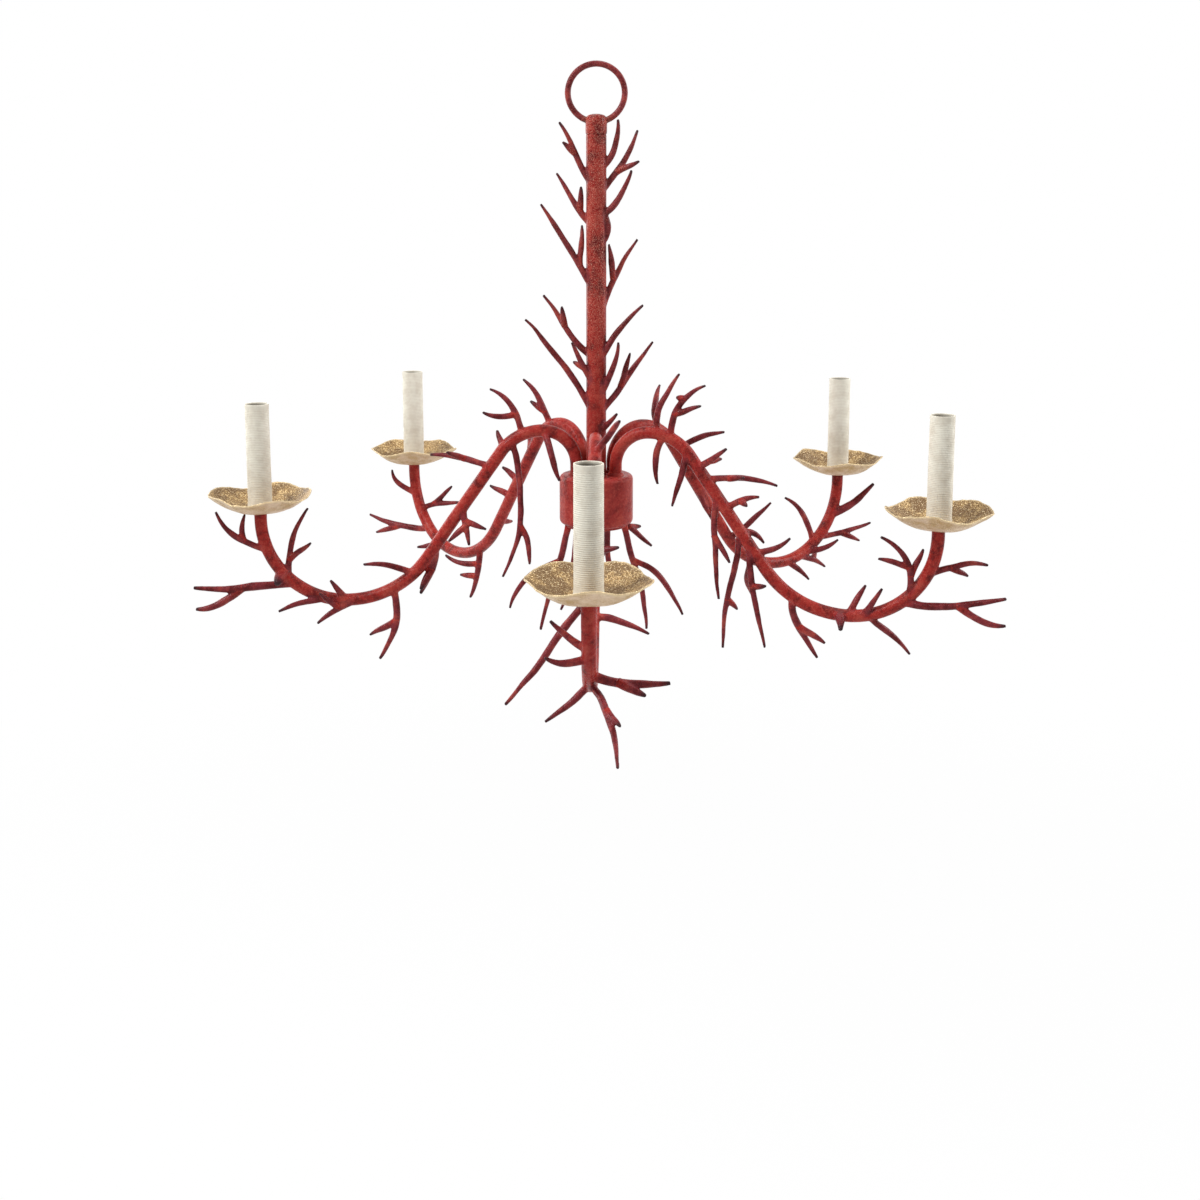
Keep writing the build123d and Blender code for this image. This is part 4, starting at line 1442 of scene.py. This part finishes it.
@dataclass
class Hub:
    """The round hub with its arm collars, its cover, the nut under it and the twigs below."""

    frame: Frame
    wall: float = 2.0
    rim: float = 5.0
    lip: float = 3.0
    collar_radius: float = 7.6
    collar_height: float = 2.5
    nut_radius: float = 8.0
    nut_height: float = 6.0
    nut_dome: float = 5.0
    rod_radius: float = 5.1

    def shell(self, paints: Paintbox) -> None:
        """Builds the hub's body, open below, with its rounded edges.

        Args:
            paints: The finishes.
        """
        edge, top, bottom = self.frame.hub_radius, self.frame.hub_top, self.frame.hub_bottom
        inner, end = edge - self.wall, self.frame.hub_end_radius - self.wall
        under = top - self.wall
        outline = softened([
            (self.rod_radius, top, 0.2), (edge, top, self.frame.hub_round),
            (edge, bottom, self.frame.hub_round), (end, bottom, 0.3), (inner, bottom + self.rim, 2),
            (inner, top - self.rim, 2), (end, under, 1), (self.rod_radius, under, 0.2),
        ], True, 8)
        mesh = spun("hub_shell", divided(outline, 2.5, True), 128, True)
        piece = painted("hub_shell", mesh, paints["coral_hub"])
        dressed(piece, self.frame.fixture, Slot.CORAL, "hub_body")

    def collars(self, trees: Trees, paints: Paintbox) -> None:
        """Builds a low weld collar round each arm's root.

        Args:
            trees: The geometry trees.
            paints: The finishes.
        """
        height, radius, arm = self.collar_height, self.collar_radius, self.frame.arm_radius
        outline = softened([
            (arm - 0.6, -0.6, 0), (radius + 0.5, -0.6, 0.2), (radius, height * 0.45, 1.0),
            (arm + 0.3, height, 0.5), (arm - 0.6, height, 0),
        ], True)
        part = shown("collar", spun("collar", outline, 40, True))
        piece = outward_set("arm_collars_weld", trees, part, paints["coral_hub"], self.frame.root_radius,
                            self.frame.hub_top)
        dressed(piece, self.frame.fixture, Slot.CORAL, "arm_collars")

    def underside(self, paints: Paintbox) -> None:
        """Builds the cover plate and the domed nut that holds it.

        Args:
            paints: The finishes.
        """
        bottom = self.frame.hub_bottom
        low = bottom - self.frame.cover_thickness
        end = self.frame.hub_end_radius
        inside = end - self.wall - 0.2
        outline = softened([
            (self.rod_radius, bottom + self.lip, 0), (inside, bottom + self.lip, 0.3), (inside, bottom, 0),
            (end, bottom, 0.3), (end, low, 1.1), (self.rod_radius, low, 0.2),
        ], True, 5)
        mesh = spun("hub_plate", divided(outline, 2.5, True), 128, True)
        plate = painted("hub_plate", mesh, paints["coral_hub"])
        dressed(plate, self.frame.fixture, Slot.CORAL, "hub_cover")
        radius, foot = self.nut_radius, low - self.nut_height
        hexagon = [(0.01, low), (radius - 0.7, low), (radius, low - 0.5), (radius, foot + 0.6),
                   (radius - 0.8, foot), (0.01, foot)]
        dome = softened([
            (radius * 0.82, foot + 0.5, 0), (radius * 0.82, foot - self.nut_dome, 3.6),
            (0.01, foot - self.nut_dome, 0),
        ], steps=10)
        mesh = joined("finial_nut", [spun("hexagon", hexagon, 6), spun("dome", dome, 48)])
        nut = painted("finial_nut", mesh, paints["coral_hub"])
        dressed(nut, self.frame.fixture, Slot.CORAL, "cover_nut")

    def roots(self, trees: Trees, paints: Paintbox) -> None:
        """Builds the twigs that hang from the plate.

        Args:
            trees: The geometry trees.
            paints: The finishes.
        """
        limbs = Limbs()
        end = self.frame.hub_end_radius
        for (right, back), twig in HUB_TWIGS:
            limbs.grow(Vector((right * end, back * end, self.frame.hub_bottom)), twig)
        piece = limbs.welded("coral_hub_roots", trees, paints["coral_branch"], 0.6)
        dressed(piece, self.frame.fixture, Slot.CORAL, "hub_twigs")

    def build(self, trees: Trees, paints: Paintbox) -> None:
        """Builds all of the hub.

        Args:
            trees: The geometry trees.
            paints: The finishes.
        """
        self.shell(paints)
        self.collars(trees, paints)
        self.underside(paints)
        self.roots(trees, paints)


def outward_set(name: str, trees: Trees, part: bpy.types.Object, finish: bpy.types.Material,
                radius: float, height: float) -> bpy.types.Object:
    """Repeats a part in line with each arm.

    Args:
        name: The piece's name.
        trees: The geometry trees.
        part: The part, drawn at the origin with +X outward. It is removed.
        finish: The material.
        radius: Its distance from the column's axis.
        height: Its level.

    Returns:
        The five in one piece.
    """
    spots = [tuple(facing.place() @ Vector((radius, 0, height)) * MM) for facing in Facing]
    mesh = bpy.data.meshes.new(name)
    mesh.from_pydata(spots, [], [])
    piece = trees.repeat.bake(shown(name, mesh), finish, Part=part)
    bpy.data.objects.remove(part)
    piece.data.set_sharp_from_angle(angle=SHARP_EDGE)
    return piece


@dataclass
class ArmLine:
    """The centreline of all five arms. The belly's radius and the slope follow from the other sizes."""

    frame: Frame
    root_depth: float = 8.0
    crown_rise: float = 42.0
    crown_radius: float = 32.4
    shoulder_radius: float = 47.7
    slope_run: float = 125.0
    lift_radius: float = 79.0
    tail_length: float = 7.4
    spacing: float = 2.0

    def points(self) -> list[Vector]:
        """Walks the line from the hub to the pan.

        Returns:
            Its points, with +X outward and +Z up.
        """
        crown_top = self.frame.hub_top + self.crown_rise
        pan_under = -self.frame.pan_drop - self.frame.pan_wall
        across = self.frame.arm_reach - self.frame.root_radius - self.crown_radius - self.lift_radius
        fall = crown_top - (pan_under - self.tail_length - self.lift_radius)
        both = (across**2 + fall**2 - self.slope_run**2) / (2 * fall)
        slope = math.atan2(both, self.slope_run) - math.atan2(both - fall, across)
        stub = self.root_depth + self.crown_rise - self.crown_radius
        quarter = math.pi / 2
        bends = [
            (stub, 0.0), (self.crown_radius * quarter, -quarter), (self.shoulder_radius * slope, -slope),
            (self.slope_run, 0.0), ((both - self.shoulder_radius) * slope, slope),
            (self.lift_radius * quarter, quarter), (self.tail_length, 0.0),
        ]
        spot = Vector((self.frame.root_radius, 0, self.frame.hub_top - self.root_depth))
        heading = quarter
        line = [spot.copy()]
        for length, turn in bends:
            count = max(2, round(length / self.spacing))
            for _ in range(count):
                heading += turn / count / 2
                spot += Vector((math.cos(heading), 0, math.sin(heading))) * (length / count)
                heading += turn / count / 2
                line.append(spot.copy())
        return line


@dataclass
class Branch:
    """One bent arm and the twigs welded to it."""

    frame: Frame
    facing: Facing
    twigs: tuple[Twig, ...]
    line: list[Vector]
    unevenness: float = 0.1

    def at(self, share: float) -> Vector:
        """Finds a point on the arm's centreline.

        Args:
            share: How far along the arm it is, from 0 to 1.

        Returns:
            The point.
        """
        steps = [(after - here).length for here, after in zip(self.line, self.line[1:])]
        lengths = np.cumsum([0] + steps)
        columns = np.asarray(self.line).T
        return Vector([float(np.interp(share * lengths[-1], lengths, column)) for column in columns])

    def build(self, trees: Trees, paints: Paintbox) -> None:
        """Builds the arm and its twigs as one welded piece.

        Args:
            trees: The geometry trees.
            paints: The finishes.
        """
        limbs = Limbs(place=self.facing.place())
        limbs.bar(self.line, self.frame.arm_radius, self.unevenness)
        for twig in self.twigs:
            limbs.grow(self.at(twig.at), twig)
        name = self.facing.label
        piece = limbs.welded(f"coral_branch_{name}", trees, paints["coral_branch"])
        dressed(piece, self.frame.fixture, Slot.CORAL, f"{name}_arm", f"{name}_twigs")


@dataclass
class DripPan:
    """One wavy gilt dish, pinched between the arm's end and a nut."""

    frame: Frame
    facing: Facing
    turn: float
    radius: float = 47.5
    floor_radius: float = 14.0
    mid_radius: float = 31.0
    mid_rise: float = 4.6
    mid_wave: float = 0.3
    rise: float = 16.6
    hole: float = 4.3
    sides: int = 144

    def build(self, trees: Trees, paints: Paintbox) -> None:
        """Builds the dish.

        Args:
            trees: The geometry trees.
            paints: The finishes.
        """
        wall = self.frame.pan_wall
        under = [(self.hole, 0, 0), (self.floor_radius, 0, 5), (self.mid_radius, self.mid_rise, 9),
                 (self.radius - 0.2, self.rise, 0)]
        low = divided(softened(under, steps=6), 2.2)
        over = [(radius, height + wall) for radius, height in reversed(low)]
        lip = [(self.radius + 0.25, self.rise + wall * 0.35), (self.radius + 0.25, self.rise + wall * 0.7)]
        outline = low + lip + over
        first_top = len(low) + 1

        def wave(radius: float, height: float, number: int, turn: float) -> float:
            """How much of the rim's wave a ring takes."""
            knots = (self.hole, self.floor_radius, self.mid_radius, self.radius)
            return float(np.interp(radius, knots, (0, 0, self.mid_wave, 1)))

        marks = {
            "wave": wave,
            "turn": lambda radius, height, number, turn: turn,
            "inside": lambda radius, height, number, turn: float(number >= first_top),
            # The lip, which the gilding paints bright as a painted highlight.
            "rim": lambda radius, height, number, turn: float(radius > self.radius - 0.8),
        }
        mesh = spun("pan", outline, self.sides, True, marks=marks)
        start = shown(f"gilt_pan_{self.facing.label}", mesh)
        piece = trees.rim.bake(start, paints["gilt_pan"], Seed=self.turn)
        spot = Vector((self.frame.arm_reach, 0, -self.frame.pan_drop - wall)) * MM
        turned = Matrix.Rotation(math.radians(self.turn), 4, "Z")
        piece.data.transform(self.facing.place() @ Matrix.Translation(spot) @ turned)
        dressed(piece, self.frame.fixture, Slot.GILT, f"{self.facing.label}_pan")


@dataclass
class CandleSleeve:
    """The ivory candle covers, which lift off. All five are alike."""

    frame: Frame
    height: float = 101.6
    radius: float = 11.2
    spread: float = 0.7
    foot: float = 9.0
    wall: float = 1.2
    slip: float = 0.3
    rib_pitch: float = 1.6
    rib_depth: float = 0.13

    def build(self, trees: Trees, paints: Paintbox) -> None:
        """Builds a sleeve and sets one on each pan.

        Args:
            trees: The geometry trees.
            paints: The finishes.
        """
        outer, bore, top = self.radius, self.radius - self.wall, self.height
        corners = [
            (bore, 0, 0.2), (outer + self.spread, 0, 0.5), (outer + self.spread, 3.0, 1.2),
            (outer, self.foot, 3), (outer - 0.15, top - 5.0, 1.5), (outer, top - 2.4, 1.0),
            (outer, top, 0.55), (bore, top, 0.5),
        ]
        outline = divided(softened(corners, True), 0.27, True, bore + 0.05)

        def ribbed(radius: float, height: float, number: int, turn: float) -> float:
            """Tells how much of the ribs a ring takes.

            Args:
                radius: The ring's radius.
                height: Its height on the sleeve.
                number: The outline's point that it comes from. It is not used.
                turn: The point's angle round the sleeve. It is not used.

            Returns:
                A share from 0 to 1.
            """
            if radius < bore + 0.7:
                return 0.0
            return float(np.interp(height, (self.foot, self.foot + 3, top - 6, top - 3.5), (0, 1, 1, 0)))

        marks = {
            "ribbed": ribbed,
            # The bore, which the ivory finish paints dark as painted shade.
            "inside": lambda radius, height, number, turn: float(radius < bore + 0.3 and height < top - 1.0),
        }
        mesh = spun("sleeve", outline, 72, True, marks=marks)
        pitch, depth = self.rib_pitch * MM, self.rib_depth * MM
        start = trees.ribs.bake(shown("sleeve", mesh), paints["ivory_sleeve"], Pitch=pitch, Depth=depth)
        level = self.slip - self.frame.pan_drop
        for facing in Facing:
            place = facing.place() @ Matrix.Translation(Vector((self.frame.arm_reach, 0, level)) * MM)
            piece = shown(f"candle_sleeve_{facing.label}", moved(start.data, place))
            dressed(piece, f"{facing.label}_candle", Slot.IVORY, f"{facing.label}_sleeve")
        bpy.data.objects.remove(start)


@dataclass
class LampHolder:
    """What stands inside each sleeve: nipple, nut, strap leg, moulded holder, screw shell and contact."""

    frame: Frame
    nipple_radius: float = 4.0
    nipple_bore: float = 2.5
    nipple_below: float = 8.5
    nipple_above: float = 9.0
    nut_radius: float = 7.6
    nut_height: float = 4.0
    strap: float = 1.2
    strap_width: float = 9.0
    strap_reach: float = 7.8
    socket_radius: float = 9.3
    socket_bore: float = 6.9
    socket_top: float = 97.6
    socket_height: float = 32.0
    shell_radius: float = 6.3
    shell_top: float = 95.6
    shell_height: float = 20.0
    nipple_pitch: float = 0.9
    nipple_groove: float = 0.15
    shell_pitch: float = 2.6
    shell_groove: float = 0.28
    contact_path: tuple[Pair, ...] = ((-2.5, 0.0), (-1.2, 0.1), (0.2, 0.6), (1.4, 1.05), (2.5, 0.9))
    contact_width: float = 3.0
    contact_thickness: float = 0.4

    def nipple(self) -> bpy.types.Mesh:
        """The hollow threaded nipple.

        Returns:
            The mesh, with the pan's floor at level 0.
        """
        outer, bore = self.nipple_radius - self.nipple_groove, self.nipple_bore
        low, high = -self.nipple_below, self.nipple_above
        corners = [(bore, low, 0.2), (outer, low, 0.4), (outer, high, 0.4), (bore, high, 0.2)]
        outline = divided(softened(corners, True, 3), 0.25, True)
        marks = {"ribbed": lambda radius, height, number, turn: float(radius > outer - 0.1)}
        return spun("nipple", outline, 32, True, marks)

    def nut(self) -> bpy.types.Mesh:
        """The hex nut on the pan's floor.

        Returns:
            The mesh, with the pan's floor at level 0.
        """
        edge, hole, top = self.nut_radius, self.nipple_radius + 0.05, self.nut_height
        outline = [(hole, 0), (edge - 0.6, 0), (edge, 0.5), (edge, top - 0.5), (edge - 0.6, top), (hole, top)]
        return spun("nut", outline, 6, True)

    def leg(self) -> bpy.types.Mesh:
        """The strap leg: a foot on the nut, an upright and a tab under the holder, with rounded bends.

        Returns:
            The mesh, with the pan's floor at level 0.
        """
        out, thick = self.strap_reach, self.strap
        low, high = self.nut_height, self.socket_top - self.socket_height
        back = -out + thick
        path = softened([
            (back, low + thick / 2, 0), (out - thick / 2, low + thick / 2, 2.2),
            (out - thick / 2, high - thick / 2, 2.2), (back, high - thick / 2, 0),
        ], steps=6)
        rows = []
        for number, point in enumerate(path):
            before = Vector(path[max(0, number - 1)])
            after = Vector(path[min(len(path) - 1, number + 1)])
            along = (after - before).normalized()
            off = Vector((along.y, -along.x)) * thick / 2
            rows.append((tuple(Vector(point) + off), tuple(Vector(point) - off)))
        return strap("leg", rows, self.strap_width)

    def body(self) -> bpy.types.Mesh:
        """The moulded holder: a deep cup with a rounded lip and shallow steps.

        Returns:
            The mesh, with the pan's floor at level 0.
        """
        edge, bore, top = self.socket_radius, self.socket_bore, self.socket_top
        low = top - self.socket_height
        waist = edge - 0.4
        outline = softened([
            (0.01, low, 0), (waist, low, 0.8), (waist, low + 9, 0.3), (edge, low + 9.6, 0.3),
            (edge, low + 12, 0.3), (waist, low + 12.6, 0.3), (waist, top - 4, 0.3), (edge, top - 3.4, 0.3),
            (edge, top, 0.8), (bore, top, 0.5), (bore, low + 4, 0.3), (0.01, low + 4, 0),
        ])
        return spun("body", outline, 56)

    def shell(self) -> bpy.types.Mesh:
        """The threaded metal shell.

        Returns:
            The mesh, with the pan's floor at level 0.
        """
        edge, top = self.shell_radius, self.shell_top
        low = top - self.shell_height
        corners = [(edge - 0.45, low, 0), (edge, low, 0.1), (edge, top - 0.2, 0.1),
                   (edge + 0.25, top, 0.1), (edge - 0.35, top, 0.1)]
        outline = divided(softened(corners, True, 3), 0.5, True, edge - 0.4)
        levels = (low, low + 2, top - 3, top - 1.5)
        marks = {"ribbed": lambda radius, height, number, turn: float(np.interp(height, levels, (0, 1, 1, 0)))}
        return spun("shell", outline, 48, True, marks)

    def contact(self) -> bpy.types.Mesh:
        """The bent spring contact at the holder's bottom.

        Returns:
            The mesh, with the pan's floor at level 0.
        """
        low = self.socket_top - self.socket_height + 4
        over = low + self.contact_thickness
        rows = [((across, low + height), (across, over + height)) for across, height in self.contact_path]
        return strap("contact", rows, self.contact_width)

    def build(self, trees: Trees, paints: Paintbox) -> None:
        """Builds each piece once and repeats it in line with every arm.

        Args:
            trees: The geometry trees.
            paints: The finishes.
        """
        nipple = trees.ribs.bake(shown("nipple", self.nipple()), paints["zinc"],
                                 Pitch=self.nipple_pitch * MM, Depth=self.nipple_groove * MM)
        shell = trees.ribs.bake(shown("shell", self.shell()), paints["brass"],
                                Pitch=self.shell_pitch * MM, Depth=self.shell_groove * MM)
        parts = (
            ("lamp_nipples", nipple, "zinc", Slot.STEEL, "pan_nipples"),
            ("lamp_nuts", shown("nut", self.nut()), "zinc", Slot.STEEL, "pan_nuts"),
            ("lamp_legs", shown("leg", self.leg()), "zinc", Slot.STEEL, "socket_legs"),
            ("lamp_bodies", shown("body", self.body()), "holder", Slot.HOLDER, "socket_bodies"),
            ("lamp_shells", shell, "brass", Slot.BRASS, "screw_shells"),
            ("lamp_contacts", shown("contact", self.contact()), "contact", Slot.BRASS, "centre_contacts"),
        )
        reach, level = self.frame.arm_reach, -self.frame.pan_drop
        for name, part, finish, slot, node in parts:
            piece = outward_set(name, trees, part, paints[finish], reach, level)
            dressed(piece, self.frame.fixture, slot, node)


@dataclass
class InnerSteel:
    """The rod through the middle and the nuts inside the hub, which stay as the model has them."""

    names: tuple[str, ...] = ("centre_rod", "arm_nuts")

    def dress(self, nodes: dict, paints: Paintbox) -> None:
        """Gives the model's own pieces their finish.

        Args:
            nodes: The model's pieces by name.
            paints: The finishes.
        """
        for name in self.names:
            materials = nodes[name].data.materials
            materials.clear()
            materials.append(paints["zinc_thread"])
            LOG.info("%s: dressed in steel", name)


@dataclass
class Studio:
    """The camera, the soft lamps and the pale floor."""

    eye: Triple = (0.0, -1.3366, -0.1204)
    pitch: float = 8.84
    lens: float = 42.93
    sensor: float = 36.0
    shift: Pair = (0.0031, -0.1473)
    floor_level: float = -1.3
    floor_half: float = 12.0
    floor_colour: tuple[float, ...] = (0.86, 0.86, 0.86, 1)
    sky: float = 0.33
    lamps: tuple[tuple[Triple, float, float], ...] = (
        ((-1.6, -0.9, 1.4), 0.9, 48.0),
        ((1.9, 0.1, 0.5), 1.2, 29.0),
        ((0.2, 0.4, 1.8), 1.4, 14.0),
        ((-1.5, 1.2, 0.1), 1.4, 12.0),
    )
    aim: Triple = (0.0, 0.0, -0.3)

    def camera(self) -> None:
        """Sets the photograph's view."""
        data = bpy.data.cameras.new("camera")
        data.lens = self.lens
        data.sensor_width = self.sensor
        data.shift_x, data.shift_y = self.shift
        camera = bpy.data.objects.new("camera", data)
        camera.location = self.eye
        camera.rotation_euler = (math.radians(90 - self.pitch), 0, 0)
        bpy.context.scene.collection.objects.link(camera)
        bpy.context.scene.camera = camera

    def light(self) -> None:
        """Hangs the lamps and sets the sky, which is white where it is seen."""
        for number, (place, size, power) in enumerate(self.lamps):
            data = bpy.data.lights.new(f"lamp_{number}", "AREA")
            data.size = size
            data.energy = power
            lamp = bpy.data.objects.new(data.name, data)
            lamp.location = place
            lamp.rotation_euler = (Vector(self.aim) - Vector(place)).to_track_quat("-Z", "Y").to_euler()
            bpy.context.scene.collection.objects.link(lamp)
        world = bpy.data.worlds.new("studio")
        bpy.context.scene.world = world
        world.use_nodes = True
        sheet = Sheet(world.node_tree)
        dim = sheet.add("ShaderNodeBackground", {}, {"Color": PLAIN_WHITE, "Strength": self.sky})
        white = sheet.add("ShaderNodeBackground", {}, {"Color": PLAIN_WHITE, "Strength": 1.0})
        sky = sheet.add("ShaderNodeMixShader", {}, {0: sheet.seen(), 1: dim, 2: white})
        sheet.add("ShaderNodeOutputWorld", {}, {"Surface": sky})

    def floor(self) -> None:
        """Lays the pale floor, nearly white where it is seen, with the object's faint shadow on it."""
        half = self.floor_half
        corners = [(right, back, self.floor_level)
                   for right, back in ((-half, -half), (half, -half), (half, half), (-half, half))]
        mesh = bpy.data.meshes.new("floor")
        mesh.from_pydata(corners, [], [(0, 1, 2, 3)])
        made = bpy.data.materials.new("pale_floor")
        made.use_nodes = True
        sheet = Sheet(made.node_tree)
        paint = sheet.add("ShaderNodeBsdfDiffuse", {}, {"Color": self.floor_colour})
        glow = sheet.add("ShaderNodeEmission", {}, {"Color": PLAIN_WHITE, "Strength": 1.0})
        where = sheet.add("ShaderNodeTexCoord", out="Object")
        away = sheet.vector("LENGTH", {0: where}, "Value")
        share = sheet.seen() * away.ramp(1.4, 2.6, 0.92, 1.0)
        mixed = sheet.add("ShaderNodeMixShader", {}, {0: share, 1: paint, 2: glow})
        sheet.add("ShaderNodeOutputMaterial", {}, {"Surface": mixed})
        mesh.materials.append(made)
        shown("floor", mesh)

    def build(self) -> None:
        """Sets up the studio."""
        self.camera()
        self.light()
        self.floor()
        bpy.context.scene.view_settings.view_transform = "Standard"


def main() -> None:
    """Builds the chandelier in its studio."""
    logging.basicConfig(level=logging.INFO, format="%(name)s %(message)s")
    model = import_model()
    Studio().build()
    paints, trees, frame = Paintbox(), Trees(), Frame()
    paints.mix()
    HangingRing(frame).build(trees, paints)
    Column(frame).build(trees, paints)
    Hub(frame).build(trees, paints)
    line = ArmLine(frame).points()
    twigs = (FRONT_TWIGS, RIGHT_FRONT_TWIGS, RIGHT_REAR_TWIGS, LEFT_REAR_TWIGS, LEFT_FRONT_TWIGS)
    for order, facing in enumerate(Facing):
        Branch(frame, facing, twigs[order], line).build(trees, paints)
        DripPan(frame, facing, PAN_TURN * order).build(trees, paints)
    CandleSleeve(frame).build(trees, paints)
    LampHolder(frame).build(trees, paints)
    InnerSteel().dress(model["nodes"], paints)
    bpy.context.view_layer.update()


if __name__ == "__main__":
    main()
